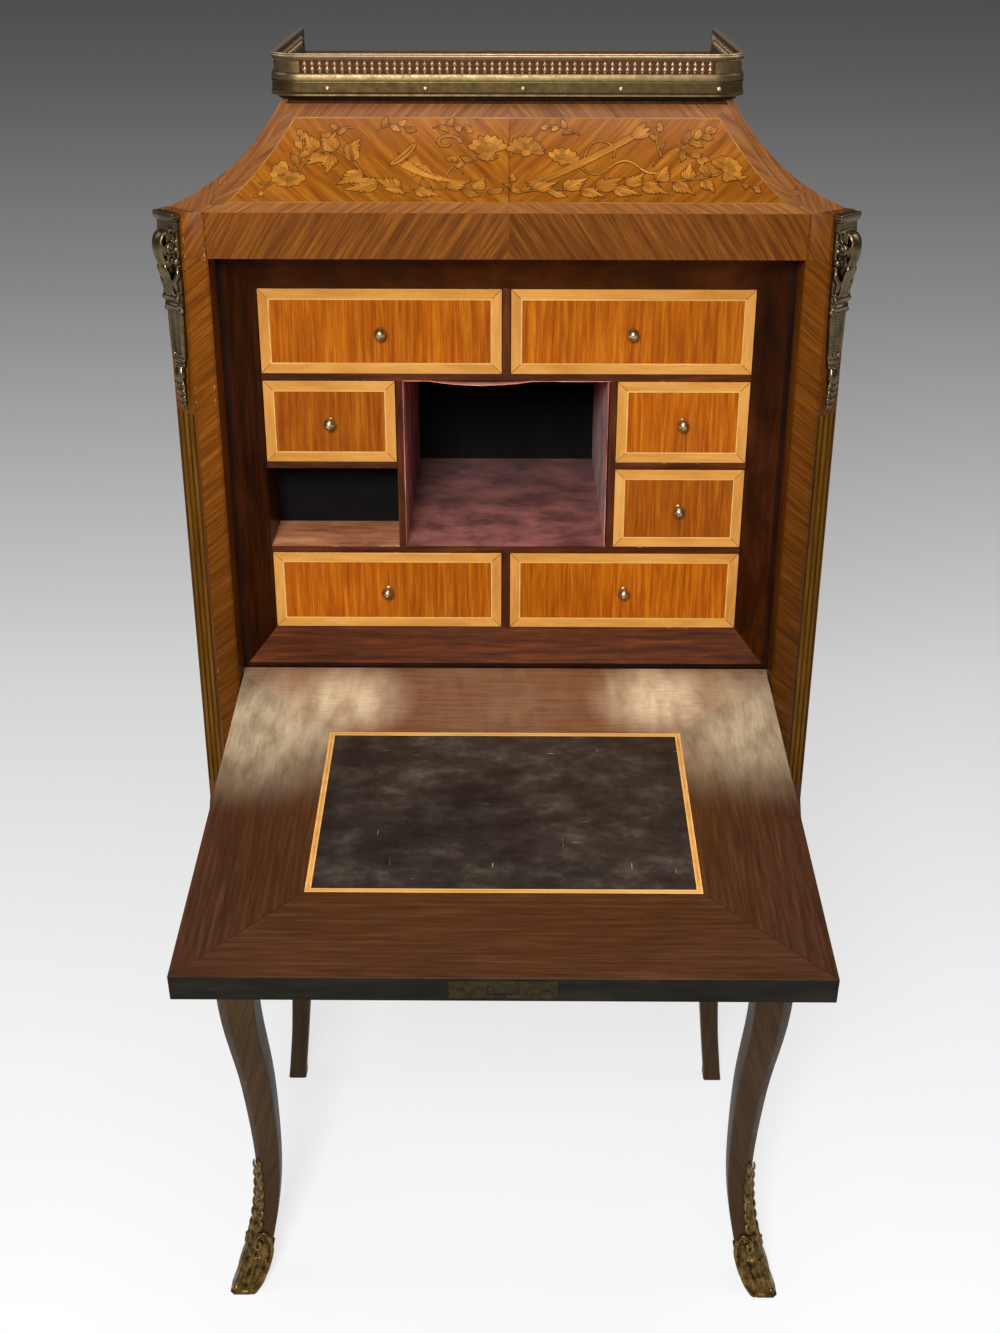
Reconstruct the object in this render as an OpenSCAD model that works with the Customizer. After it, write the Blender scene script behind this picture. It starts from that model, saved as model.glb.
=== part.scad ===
// Small fall-front writing desk on tall curved legs, with a coved roof, a brass gallery and a
// nest of drawers behind the fall. It stands open, with the fall resting on its sill.
// Millimetres, +Z up, front towards -Y. The origin lies on the floor, in the middle of the box
// that the desk fills with its fall open. The modules draw it with its front plane at Y = 0.

/* [Case] */
// Width of the case over the corner posts
case_w = 568; // [540:1:600]
// Depth of the case from its front plane to its back
case_d = 340; // [320:1:360]
// Height at which the posts start to curve into legs
leg_h = 612; // [590:1:640]
// Side of the square front post
post_w = 40; // [38:0.5:42]
// Width that the cant takes off each side of the front post's outer corner
cant = 21.5; // [19:0.5:23]
// Side of the square rear post
rear_post_w = 29; // [27:0.5:30]
// How far the sides stand back from the outer corners of the front posts
side_in = 32; // [30:0.5:32]
// Thickness of the side panels
panel_t = 8; // [7:0.5:8]
// Thickness of the back
back_t = 12; // [10:0.5:14]
// Rise of the arched lower edge of the side panels
side_arch = 34; // [24:1:40]

/* [Desk opening] */
// Height of the writing surface at the front plane, with the fall open
desk_h = 741; // [725:1:755]
// Height of the opening above the writing surface
opening_h = 390; // [380:1:398]
// Height of the rail over the opening
top_rail_h = 37; // [30:1:44]
// Depth of that rail
top_rail_d = 40; // [36:1:44]
// Height of the shaped apron at the posts
apron_h = 92; // [80:1:100]
// Thickness of the apron
apron_t = 20; // [16:1:22]
// Rise of the apron's two arches over their lowest points
apron_arch = 38; // [28:1:46]

/* [Fall] */
// Thickness of the fall
fall_t = 22; // [20:0.5:24]
// Droop of the open fall below level, degrees
fall_droop = 6.5; // [5:0.1:8]
// Gap between the fall and each post
fall_side_gap = 1; // [0.5:0.1:1.5]
// Gap between the closed fall and the rail over it
fall_top_gap = 2; // [1.5:0.1:3]
// Depth of the pivots behind the front plane
pivot_back = 19; // [18:0.5:20]
// Depth of the pivots below the writing surface
pivot_drop = 16; // [15:0.5:17]
// Gap between the open fall's underside and the sill that carries it
sill_gap = 0.2; // [0.1:0.05:0.3]
// Radius of the pivot pins
pin_r = 3; // [2.5:0.1:3.5]
// Running clearance round the pivot pins
pin_clear = 0.05; // [0.02:0.01:0.1]
// Width of the leather panel
leather_w = 298; // [280:1:320]
// Length of the leather panel from front to back
leather_l = 207; // [190:1:220]
// Bare wood between the leather and the fall's free edge
leather_margin = 100; // [80:1:115]
// Thickness of the leather
leather_t = 0.8; // [0.6:0.1:1.2]

/* [Lock] */
// Length of the brass plate on the fall's free edge
lock_plate_l = 79; // [70:1:90]
// Width of that plate
lock_plate_w = 16.5; // [15:0.5:18]
// Distance of the keyhole from the fall's free edge
lock_backset = 20; // [18:0.5:24]
// Width of the bolt
bolt_w = 22; // [18:0.5:26]
// Thickness of the bolt
bolt_t = 8; // [6:0.5:8.5]
// Travel of the bolt out of the plate
bolt_throw = 7; // [6:0.5:8]

/* [Nest of drawers] */
// Depth of the drawer fronts behind the front plane
nest_y = 66; // [62:0.5:70]
// Height of the nest's inner floor above the writing surface
nest_lift = 31; // [29:0.5:33]
// Clear height of the nest, shared by four rows
nest_h = 320; // [310:1:324]
// Half of the clear width of the nest
nest_half = 216; // [206:1:220]
// Half of the clear width of the niche between the small drawers
niche_half = 92; // [84:1:100]
// Thickness of the shelves and uprights
shelf_t = 6; // [5:0.5:7]
// Thickness of the upright between two wide drawers
mid_upright_t = 7; // [6:0.5:8]
// Running gap above and beside each drawer
drawer_gap = 0.6; // [0.4:0.1:1]
// Gap under each drawer
drawer_lift = 0.3; // [0.2:0.05:0.4]
// Thickness of the drawer fronts
front_t = 11; // [9:0.5:13]
// Thickness of the drawer sides and backs
side_t = 6; // [5:0.5:8]
// Thickness of the drawer bottoms
bottom_t = 4; // [3:0.5:5]
// Radius of the brass knobs
knob_r = 5.5; // [4.5:0.1:6.5]
// Thickness of the velvet in the niche
velvet_t = 1.2; // [0.8:0.1:1.6]
// Sag of the loose velvet on the niche's ceiling
velvet_sag = 4; // [2:0.5:6]

/* [Roof and gallery] */
// Run of the cove from the case's edge to the roof's neck
roof_run = 95; // [90:1:100]
// Rise of the cove
roof_rise = 76; // [70:1:82]
// Angle that the cove's arc turns through
roof_turn = 41; // [30:1:46]
// Width of the cant that is left at the roof's neck
neck_cant = 6; // [4:0.5:8]
// Thickness of the coved boards, measured level
roof_t = 14; // [12:0.5:16]
// Overhang of the platform past the neck
platform_over = 8; // [6:0.5:9]
// Thickness of the platform
platform_t = 15; // [13:0.5:18]
// Radius of the platform's front corners
platform_r = 25; // [20:1:30]
// Thickness of the brass band round the platform
band_t = 2; // [1.5:0.1:2.5]
// Height of the gallery over the platform
gallery_h = 21.5; // [19:0.5:26]
// Distance between the gallery's balusters
baluster_pitch = 6.2; // [6:0.1:8]
// Bare edge of the platform behind the gallery's ends
gallery_stop = 22; // [14:1:30]
// Distance between the pins along the front of the band
band_pin_pitch = 81; // [70:1:84]

/* [Legs and mounts] */
// Outward swell of the knee
knee_out = 9; // [6:0.5:11]
// Inward tuck of the ankle
ankle_in = 15.5; // [12:0.5:18]
// Outward kick of the toe
toe_out = 15; // [10:0.5:18]
// Width of the front leg at its ankle
ankle_w = 25; // [22:0.5:28]
// Thickness of the gilt shoes
shoe_t = 2.2; // [1.6:0.1:2.6]
// Height of the shoe
shoe_h = 46; // [40:1:56]
// Height of the leaf that climbs from the shoe
shoe_leaf_h = 170; // [150:1:185]
// Length of the bronze mount on the front post's cant
mount_l = 168; // [160:1:176]
// Width of that mount at its capital
mount_w = 33; // [28:0.5:36]

/* [Hidden] */
$fn = 48;
// Overlap that makes cuts and joined shapes clean
eps = 0.01;
// A length past every edge of the desk, for cutting
far = 2000;

half_w = case_w / 2;
open_half = half_w - post_w;
// Outer face of the side panels
side_half = half_w - side_in;
open_top = desk_h + opening_h;
case_top = open_top + top_rail_h;

// The fall, in its own frame: the pivots are the origin and the writing surface is level
fall_half = open_half - fall_side_gap;
fall_tail = pivot_drop;
pivot_z = desk_h - pivot_drop / cos(fall_droop) + pivot_back * tan(fall_droop);
fall_l = open_top - fall_top_gap - (pivot_z - fall_tail);
fall_front = fall_tail - fall_l;
fall_under = pivot_drop - fall_t;
fall_mid = pivot_drop - fall_t / 2;
// Inner face of the closed fall, behind the front plane
rebate_d = pivot_back + pivot_drop;
// Clearance between the fall's tail and the trough that it swings in
tail_clear = 0.9;
tail_sweep = norm([fall_tail, pivot_drop]);
heel_sweep = norm([fall_tail, fall_under]);
trough_z = pivot_z - heel_sweep - tail_clear;
lip_d = pivot_back + fall_under - 1;
rail_back = pivot_back + tail_sweep + 3;
rail_h = 18;
// Apron: half width of the drop between its arches, and the flat beside the posts
apron_drop = 14;
apron_flat = 16;
// Side panels: how far they reach down beside the legs, and the flat ends of their arch
side_drop = 20;
side_flat = 14;

// Hinge plates
plate_t = 3;
plate_w = 12;
jamb_plate_l = 55;
fall_plate_l = 59;
plate_end = 9;
pin_reach = 3;

// Lock
lock_plate_t = 1.8;
lock_case_l = 74;
lock_case_d = 34;
lock_case_t = 12;
lock_wall = 1.5;
slot_gap = 0.3;
lock_screw_r = 2.6;
lock_screw_x = 31;
keyhole_r = 2.6;
strike_t = 1.5;
strike_l = 60;
strike_w = 15;
escutcheon_t = 0.8;
escutcheon_l = 36;
escutcheon_w = 18;

// Nest of drawers
nest_z = desk_h + nest_lift;
row_h = (nest_h - 3 * shelf_t) / 4;
row_pitch = row_h + shelf_t;
nest_back_t = 6;
back_y = case_d - back_t;
nest_back_y = back_y - 8 - nest_back_t;
drawer_stop_gap = 0.5;
drawer_l = nest_back_y - drawer_stop_gap - nest_y;
column_in = niche_half + shelf_t;
// How far the drawer sides stand inside and below the edges of the drawer front
box_inset = 0.5;
box_drop = 3;
mid_half = mid_upright_t / 2;
case_bottom_t = 18;
// The boards that splay from the rebate to the nest
surround_step = 5;
surround_gap = 0.3;
surround_front_lift = 8;
surround_t = 5.5;
surround_y0 = rebate_d + surround_gap;
// Corners of that frame's four rings: half width, lower level and upper level
front_in = [open_half - surround_step, desk_h + surround_front_lift, open_top - surround_step];
front_out = [open_half, desk_h + surround_front_lift - surround_t, open_top];
rear_in = [nest_half, nest_z - surround_gap, nest_z + nest_h + surround_gap];
rear_out = [nest_half + shelf_t, nest_z - shelf_t, nest_z + nest_h + shelf_t];
// Floor and ceiling of the niche
niche_z0 = nest_z + row_pitch;
niche_z1 = nest_z + 2 * row_pitch + row_h;

// Knobs
knob_neck_r = knob_r * 0.45;
knob_pin_r = 1.8;
knob_pin_l = 7;

// Each drawer: near side, far side, row from the bottom, and which side of the middle
TOP_LEFT = [mid_half, nest_half, 3, -1];
TOP_RIGHT = [mid_half, nest_half, 3, 1];
UPPER_LEFT = [column_in, nest_half, 2, -1];
UPPER_RIGHT = [column_in, nest_half, 2, 1];
LOWER_RIGHT = [column_in, nest_half, 1, 1];
BOTTOM_LEFT = [mid_half, nest_half, 0, -1];
BOTTOM_RIGHT = [mid_half, nest_half, 0, 1];

// Roof and gallery
neck_z = case_top + roof_rise;
neck_half = half_w - roof_run;
// Cheeks that close the front of the roof where it stands out past the sides
cheek_t = 8;
side_roof_t = 10;
platform_half = neck_half + platform_over;
platform_y = roof_run - platform_over - 1;
platform_back = case_d - back_t;
// Thickness of the roof across its canted corners, as a share of roof_t
corner_share = 1.2;
// How far the roof's canted corners stand back from the cants of the posts
corner_in = 8;
foot_strip_h = 5;
foot_strip_in = 4;
platform_top = neck_z + platform_t;
// Depth and width of the rebate in the platform's edge, in which the gallery stands
gallery_bed = 1;
gallery_bed_w = 4;
band_z = neck_z + foot_strip_h;
band_h = platform_t - foot_strip_h - gallery_bed;
gallery_back = case_d - gallery_stop;
gallery_base_h = 6;
gallery_rail_h = 4.5;
gallery_wall = 1.6;
gallery_over = 1;
gallery_base_w = gallery_bed_w + gallery_over;
gallery_rail_w = 5;
// Distance from the platform's edge out to the pierced strips' outer face
wall_out = -0.6;
pierced_h = gallery_h - gallery_base_h - gallery_rail_h;
band_pin_r = 2.2;
band_pin_first = -149;
band_pins = 5;

// How far the sabot's leaf stands out past the shoe
leaf_relief = 0.6;

// How much wider the front foot is than its ankle, and how far its heel is rounded off below
heel_swell = 2.5;
heel_round = 3;
// How much thinner the rear ankle is than the front one, and the small pad under it
rear_slender = 4;
rear_pad = 1.5;
// How far the rear feet are splayed out to the side and to the back
rear_splay = 28;
// Cant of the front post's corner behind the mount, where the side stands back
post_return = cant - 3;

// Leg stations: height as a share of leg_h, outward shift of the outer corner, width, cant,
// and cant of the corner behind it
leg_steps = 6;
front_leg = [
    [1, 0, post_w, cant, post_return],
    [0.82, knee_out, post_w + 3, cant * 0.8, post_return * 0.5],
    [0.61, knee_out * 0.8, post_w - 1, cant * 0.55, 4],
    [0.425, -ankle_in * 0.5, (post_w + ankle_w) / 2, cant * 0.4, 2],
    [0.245, -ankle_in, ankle_w + 1, cant * 0.3, 2],
    [0.134, -ankle_in * 0.65, ankle_w, cant * 0.3, 2],
    [0.05, toe_out * 0.22, ankle_w + heel_swell, cant * 0.26, 2],
    [0.02, toe_out * 0.62, ankle_w + heel_swell, cant * 0.2, 2],
    [0, toe_out, ankle_w + heel_swell - heel_round, cant * 0.15, 2]
];
rear_leg = [
    [1, 0, rear_post_w, 2, 2],
    [0.82, rear_splay * 0.14, rear_post_w + 1, 3, 2],
    [0.61, rear_splay * 0.18, rear_post_w - 1, 3, 2],
    [0.425, rear_splay * 0.3, (rear_post_w + ankle_w) / 2, 3, 2],
    [0.245, rear_splay * 0.52, ankle_w - 2, 3, 2],
    [0.134, rear_splay * 0.68, ankle_w - rear_slender, 3, 2],
    [0.05, rear_splay * 0.87, ankle_w - rear_slender, 3, 2],
    [0.02, rear_splay * 0.94, ankle_w - rear_slender, 3, 2],
    [0, rear_splay, ankle_w - rear_slender + rear_pad, 3, 2]
];

// Smooth curve through stations a, b, c and d, from b at t = 0 to c at t = 1
function blend(a, b, c, d, t) =
    0.5 * (2 * b + (c - a) * t + (2 * a - 5 * b + 4 * c - d) * t * t
           + (3 * b - a - 3 * c + d) * t * t * t);

// The leg's sections between its stations, from the top down
function leg_rings(stations) = let (last = len(stations) - 1) [
    for (i = [0:last - 1], s = [0:leg_steps - 1])
        blend(stations[max(i - 1, 0)], stations[i], stations[i + 1],
              stations[min(i + 2, last)], s / leg_steps),
    stations[last]
];

// One section, outer corner towards -X and -Y, grown outwards by g
function leg_section(ring, g) = let (
    out = -ring[1] - g,
    inn = -ring[1] + ring[2] + g,
    c = ring[3] + g * 0.6,
    e = 2,
    f = ring[4]
) [
    [out + c, out], [inn - e, out], [inn, out + e], [inn, inn - e],
    [inn - e, inn], [out + f, inn], [out, inn - f], [out, out + c]
];

// A solid through a list of [height, outline] rings given from the top down
module loft(rings) {
    n = len(rings[0][1]);
    m = len(rings);
    points = [for (r = rings, p = r[1]) [p[0], p[1], r[0]]];
    walls = [
        for (i = [0:m - 2], j = [0:n - 1]) let (k = (j + 1) % n)
            each [[i * n + j, i * n + k, (i + 1) * n + j],
                  [i * n + k, (i + 1) * n + k, (i + 1) * n + j]]
    ];
    top = [for (j = [1:n - 2]) [0, j + 1, j]];
    base = (m - 1) * n;
    bottom = [for (j = [1:n - 2]) [base, base + j, base + j + 1]];
    polyhedron(points = points, faces = concat(walls, top, bottom), convexity = 6);
}

module mirror_right(right) {
    if (right) mirror([1, 0, 0]) children();
    else children();
}

// Moves the desk, drawn with its front plane at Y = 0, to the middle of its outer box
module placed() {
    front = pivot_back + fall_front * cos(fall_droop) - pivot_drop * sin(fall_droop);
    rear = case_d + rear_splay;
    translate([0, -(front + rear) / 2, 0]) children();
}

// Moves what is drawn in the fall's frame to the open fall
module at_fall() {
    translate([0, pivot_back, pivot_z]) rotate([fall_droop, 0, 0]) children();
}

module box(low, high) {
    translate(low) cube(high - low);
}

// A flat strip of width w with round ends, running from x0 to x1 along X
module round_strip(x0, x1, w) {
    translate([x0 + w / 2, -w / 2]) square([x1 - x0 - w, w]);
    for (x = [x0 + w / 2, x1 - w / 2]) translate([x, 0]) circle(r = w / 2);
}

// A flat outline in Y and Z, pushed along X from x0 to x1
module along_x(x0, x1) {
    translate([x0, 0, 0]) rotate([90, 0, 90]) linear_extrude(x1 - x0) children();
}

// A flat outline in X and Z, pushed along Y from y0 to y1
module along_y(y0, y1) {
    translate([0, y1, 0]) rotate([90, 0, 0]) linear_extrude(y1 - y0) children();
}

module leg_at_corner(stations, g) {
    loft([for (r = leg_rings(stations)) [r[0] * leg_h, leg_section(r, g)]]);
}

module front_leg_left() {
    translate([-half_w, 0, 0]) leg_at_corner(front_leg, 0);
}

module front_post(right) {
    color("sienna") mirror_right(right) difference() {
        union() {
            front_leg_left();
            translate([-half_w, 0, leg_h - eps]) linear_extrude(case_top - leg_h + eps)
                polygon(leg_section(front_leg[0], 0));
        }
        jamb_plate_body();
    }
}

module rear_post(right) {
    color("sienna") mirror_right(right) translate([-side_half, case_d, 0]) mirror([0, 1, 0]) {
        leg_at_corner(rear_leg, 0);
        translate([0, 0, leg_h - eps]) linear_extrude(case_top - leg_h + eps)
            polygon(leg_section(rear_leg[0], 0));
    }
}

// Side panel between the posts, its lower edge arched
module side_panel(right) {
    y0 = post_w;
    y1 = case_d - rear_post_w;
    foot = leg_h - side_drop;
    chord = (y1 - y0) / 2 - side_flat;
    r = (chord * chord + side_arch * side_arch) / (2 * side_arch);
    color("peru") mirror_right(right) along_x(-side_half, -side_half + panel_t) difference() {
        translate([y0, foot]) square([y1 - y0, case_top - foot]);
        translate([(y0 + y1) / 2, foot + side_arch - r]) circle(r = r, $fn = 96);
    }
}

// The cove's outline: width from the middle of the roof, height from the roof's lower edge
module cove_outline(half, run, inset) {
    foot = [half, 0];
    head = [half - run, roof_rise];
    translate([-inset, 0]) difference() {
        polygon([[-far, 0], foot, head, [-far, roof_rise]]);
        translate(arc_centre(foot, head, roof_turn))
            circle(r = arc_radius(foot, head, roof_turn), $fn = 96);
    }
}

// The coved front of the hood with its two canted corners
module front_hood(inset) {
    translate([0, 0, case_top]) intersection() {
        front_cove(inset);
        corner_cove(-1, inset);
        corner_cove(1, inset);
    }
}

module front_cove(inset) {
    along_x(-far, far) mirror([1, 0]) translate([-case_d, 0])
        cove_outline(case_d, roof_run, inset);
}

// The coved sides of the hood, which stand back with the case's sides
module side_hood(inset) {
    translate([0, 0, case_top]) intersection() {
        front_cove(inset);
        along_y(-far, far) side_cove(inset);
        along_y(-far, far) mirror([1, 0]) side_cove(inset);
    }
}

module side_cove(inset) {
    cove_outline(side_half, side_half - neck_half, inset);
}

// The cove seen along the canted corner
module corner_cove(side, inset) {
    base = [(half_w - cant / 2) * sqrt(2) - corner_in, 0];
    neck = [(half_w - roof_run - neck_cant / 2) * sqrt(2), roof_rise];
    translate([0, half_w, 0]) rotate([0, 0, side > 0 ? -45 : -135])
        along_y(-far, far) translate([-inset * corner_share, 0]) difference() {
            polygon([[-far, 0], base, neck, [-far, roof_rise]]);
            translate(arc_centre(base, neck, roof_turn))
                circle(r = arc_radius(base, neck, roof_turn), $fn = 96);
        }
}

function arc_radius(a, b, turn) = norm(b - a) / 2 / sin(turn / 2);
function arc_centre(a, b, turn) = let (d = (b - a) / norm(b - a))
    (a + b) / 2 + arc_radius(a, b, turn) * cos(turn / 2) * [d[1], -d[0]];

// The space in front of the upright planes that part the front board from the side ones
module mitre_front(inset) {
    foot = [half_w, cant];
    head = [neck_half, roof_run + neck_cant];
    slope = (head[1] - foot[1]) / (foot[0] - head[0]);
    outer = half_w + 10;
    y = foot[1] - 10 * slope - inset;
    translate([0, 0, case_top - 1]) linear_extrude(roof_rise + 2)
        polygon([[-outer, -10], [outer, -10], [outer, y], [0, y + outer * slope], [-outer, y]]);
}

// Front board of the roof, with cheeks that close it above the sides
module roof_front() {
    color("goldenrod") intersection() {
        difference() {
            front_hood(0);
            intersection() {
                front_hood(roof_t);
                mitre_front(cheek_t);
            }
            side_hood(roof_t);
        }
        mitre_front(0);
    }
}

module roof_side(right) {
    color("chocolate") mirror_right(right) intersection() {
        difference() {
            side_hood(0);
            side_hood(side_roof_t);
            mitre_front(0);
            box([-far, case_d - back_t, 0], [far, far, far]);
        }
        box([-far, -far, 0], [0, far, far]);
    }
}

module back_panel() {
    y0 = case_d - back_t;
    foot = leg_h - side_drop / 2;
    gap_half = side_half - rear_post_w;
    color("saddlebrown") {
        box([-gap_half, y0, foot], [gap_half, case_d, case_top + eps]);
        translate([0, 0, case_top]) along_y(y0, case_d) intersection() {
            side_cove(0);
            mirror([1, 0]) side_cove(0);
        }
    }
}

// Rail over the opening, with a mortise for the bolt and a bed for the strike plate
module top_rail() {
    bolt_y = pivot_back + fall_mid;
    color("peru") difference() {
        box([-open_half, 0, open_top], [open_half, top_rail_d, case_top]);
        box([-bolt_w / 2 - 1, bolt_y - bolt_t / 2 - 1, open_top - 1],
            [bolt_w / 2 + 1, bolt_y + bolt_t / 2 + 1, open_top + bolt_throw + 5]);
        box([-strike_l / 2, bolt_y - strike_w / 2, open_top - 1],
            [strike_l / 2, bolt_y + strike_w / 2, open_top + strike_t]);
    }
}

// Sill, trough for the fall's tail and shaped apron, cut from one thick rail
module bottom_rail() {
    under = fall_under / cos(fall_droop) - sill_gap;
    slope = tan(fall_droop);
    foot = trough_z - rail_h;
    color("peru") {
        along_x(-open_half, open_half) polygon([
            [0, foot], [rail_back, foot], [rail_back, pivot_z],
            [rail_back - 3 + tail_clear, pivot_z], [rail_back - 3 + tail_clear, trough_z],
            [lip_d, trough_z], [lip_d, pivot_z + under - (pivot_back - lip_d) * slope],
            [0, pivot_z + under - pivot_back * slope]
        ]);
        along_y(0, apron_t) apron_outline(foot);
    }
}

// Two arches that meet in a drop at the middle
module apron_outline(top) {
    span = open_half - apron_drop - apron_flat;
    r = (span * span / 4 + apron_arch * apron_arch) / (2 * apron_arch);
    difference() {
        translate([-open_half, top - apron_h]) square([2 * open_half, apron_h + eps]);
        for (side = [-1, 1])
            translate([side * (span / 2 + apron_drop), top - apron_h + apron_arch - r])
                circle(r = r, $fn = 96);
    }
}

// Board under the nest, notched round the rear posts
module case_bottom() {
    top = nest_z - shelf_t;
    notch_y = case_d - rear_post_w;
    gap_half = side_half - rear_post_w;
    color("saddlebrown") {
        box([-side_half + panel_t, nest_y, top - case_bottom_t],
            [side_half - panel_t, notch_y, top]);
        box([-gap_half, notch_y - eps, top - case_bottom_t], [gap_half, back_y, top]);
    }
}

// One mitred board of the splayed frame, between two of its corners
module splayed_board(a, b) {
    points = [
        for (ring = [0:3], end = [a, b])
            [end[ring][0], ring < 2 ? surround_y0 : nest_y, end[ring][1]]
    ];
    polyhedron(points = points, faces = [
        [0, 1, 3, 2], [4, 6, 7, 5], [0, 4, 5, 1], [2, 3, 7, 6], [0, 2, 6, 4], [1, 5, 7, 3]
    ], convexity = 2);
}

// Corners in the order front inner, front outer, rear inner, rear outer
function corner(side, level) = [
    for (ring = [front_in, front_out, rear_in, rear_out]) [side * ring[0], ring[level]]
];

module surround_stiles() {
    color("maroon") {
        splayed_board(corner(-1, 1), corner(-1, 2));
        splayed_board(corner(1, 2), corner(1, 1));
    }
}

module surround_rails() {
    color("maroon") {
        splayed_board(corner(1, 1), corner(-1, 1));
        splayed_board(corner(-1, 2), corner(1, 2));
    }
}

module shelf(x0, x1, z) {
    box([x0, nest_y, z], [x1, nest_back_y, z + shelf_t]);
}

module upright(x0, x1, z0, z1) {
    box([x0, nest_y, z0], [x1, nest_back_y, z1]);
}

// Floor and ceiling of the nest, two full shelves and one short shelf on each side
module nest_shelves() {
    color("brown") {
        shelf(-nest_half, nest_half, nest_z - shelf_t);
        shelf(-nest_half, nest_half, nest_z + nest_h);
        shelf(-nest_half, nest_half, nest_z + row_h);
        shelf(-nest_half, nest_half, nest_z + 2 * row_pitch + row_h);
        shelf(-nest_half, -column_in, nest_z + row_pitch + row_h);
        shelf(column_in, nest_half, nest_z + row_pitch + row_h);
    }
}

module nest_uprights() {
    color("brown") {
        for (side = [-1, 1]) {
            outer = side * (nest_half + shelf_t / 2);
            upright(outer - shelf_t / 2, outer + shelf_t / 2, nest_z - shelf_t,
                    nest_z + nest_h + shelf_t);
            inner = side * (niche_half + shelf_t / 2);
            upright(inner - shelf_t / 2, inner + shelf_t / 2, nest_z + row_pitch,
                    nest_z + 2 * row_pitch + row_h);
        }
        upright(-mid_half, mid_half, nest_z, nest_z + row_h);
        upright(-mid_half, mid_half, nest_z + 3 * row_pitch, nest_z + nest_h);
    }
}

module nest_back() {
    color("dimgray")
        box([-nest_half - shelf_t, nest_back_y, nest_z - shelf_t],
            [nest_half + shelf_t, nest_back_y + nest_back_t, nest_z + nest_h + shelf_t]);
}

module velvet_floor() {
    color("plum")
        box([-niche_half, nest_y + 1, niche_z0], [niche_half, nest_back_y, niche_z0 + velvet_t]);
}

module velvet_walls() {
    color("mediumorchid") for (side = [-1, 1])
        translate([side * (niche_half - velvet_t / 2), 0, 0])
            box([-velvet_t / 2, nest_y + 1, niche_z0 + velvet_t],
                [velvet_t / 2, nest_back_y, niche_z1 - velvet_t]);
}

// Velvet on the ceiling, hanging loose in a shallow curve over its left part
module velvet_ceiling() {
    sag_half = niche_half * 0.5;
    r = (sag_half * sag_half + velvet_sag * velvet_sag) / (2 * velvet_sag);
    sag_x = -niche_half * 0.25;
    color("hotpink") along_y(nest_y + 1, nest_back_y) {
        translate([-niche_half, niche_z1 - velvet_t]) square([2 * niche_half, velvet_t]);
        intersection() {
            translate([sag_x, niche_z1 - velvet_t - velvet_sag + r]) circle(r = r, $fn = 720);
            translate([sag_x - sag_half, niche_z1 - velvet_t - velvet_sag])
                square([2 * sag_half, velvet_sag + eps]);
        }
    }
}

// Drawer parts. The near side is the one next to the middle of the desk.
function drawer_x0(d) = min(d[3] * d[0], d[3] * d[1]) + drawer_gap;
function drawer_x1(d) = max(d[3] * d[0], d[3] * d[1]) - drawer_gap;
function drawer_z0(d) = nest_z + d[2] * row_pitch + drawer_lift;
function drawer_z1(d) = nest_z + d[2] * row_pitch + row_h - drawer_gap;
function drawer_mid(d) = [(drawer_x0(d) + drawer_x1(d)) / 2, (drawer_z0(d) + drawer_z1(d)) / 2];

module drawer_front(d) {
    color("orange") difference() {
        box([drawer_x0(d), nest_y, drawer_z0(d)], [drawer_x1(d), nest_y + front_t, drawer_z1(d)]);
        translate([drawer_mid(d)[0], nest_y - 1, drawer_mid(d)[1]]) rotate([-90, 0, 0])
            cylinder(r = knob_pin_r + 0.05, h = knob_pin_l + 1.5);
    }
}

// Sides, back and bottom, open at the top and closed in front by the drawer front
module drawer_box(d) {
    y0 = nest_y + front_t;
    y1 = nest_y + drawer_l;
    x0 = drawer_x0(d) + box_inset;
    x1 = drawer_x1(d) - box_inset;
    top = drawer_z1(d) - box_drop;
    color("wheat") difference() {
        box([x0, y0, drawer_z0(d)], [x1, y1, top]);
        box([x0 + side_t, y0 - 1, drawer_z0(d) + bottom_t], [x1 - side_t, y1 - side_t, top + 1]);
    }
}

// Turned knob: rose, neck and ball, with a pin that goes into the drawer front
module drawer_knob(d) {
    rose_r = knob_r * 0.75;
    color("khaki") translate([drawer_mid(d)[0], nest_y, drawer_mid(d)[1]]) rotate([90, 0, 0]) {
        cylinder(r = rose_r, h = 1.2);
        cylinder(r = knob_neck_r, h = knob_r);
        translate([0, 0, knob_r * 1.55]) sphere(r = knob_r);
        translate([0, 0, -knob_pin_l]) cylinder(r = knob_pin_r, h = knob_pin_l + eps);
    }
}

// Outline of the platform grown outwards by g: square at the back, round at the front corners
module platform_outline(g, back) {
    w = platform_half + g;
    y0 = platform_y - g;
    r = platform_r + g;
    translate([-w, y0 + r]) square([2 * w, back - y0 - r]);
    translate([-w + r, y0]) square([2 * (w - r), r + eps]);
    for (side = [-1, 1]) translate([side * (w - r), y0 + r]) circle(r = r, $fn = 96);
}

// Board with a rebate on three edges, in which the gallery stands
module platform() {
    color("peru") {
        difference() {
            translate([0, 0, neck_z + foot_strip_h]) linear_extrude(platform_t - foot_strip_h)
                platform_outline(0, platform_back);
            translate([0, 0, platform_top - gallery_bed]) linear_extrude(gallery_bed + 1)
                edge_ring(2, -gallery_bed_w, gallery_back);
        }
        translate([0, 0, neck_z]) linear_extrude(foot_strip_h + eps)
            platform_outline(-foot_strip_in, platform_back - foot_strip_in);
    }
}

// A three-sided ring on the platform's edge, open at the back
module edge_ring(outer, inner, back) {
    difference() {
        platform_outline(outer, back);
        platform_outline(inner, back + far);
    }
}

module gallery_band() {
    color("darkkhaki") translate([0, 0, band_z]) linear_extrude(band_h)
        edge_ring(band_t, 0, gallery_back);
}

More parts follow.
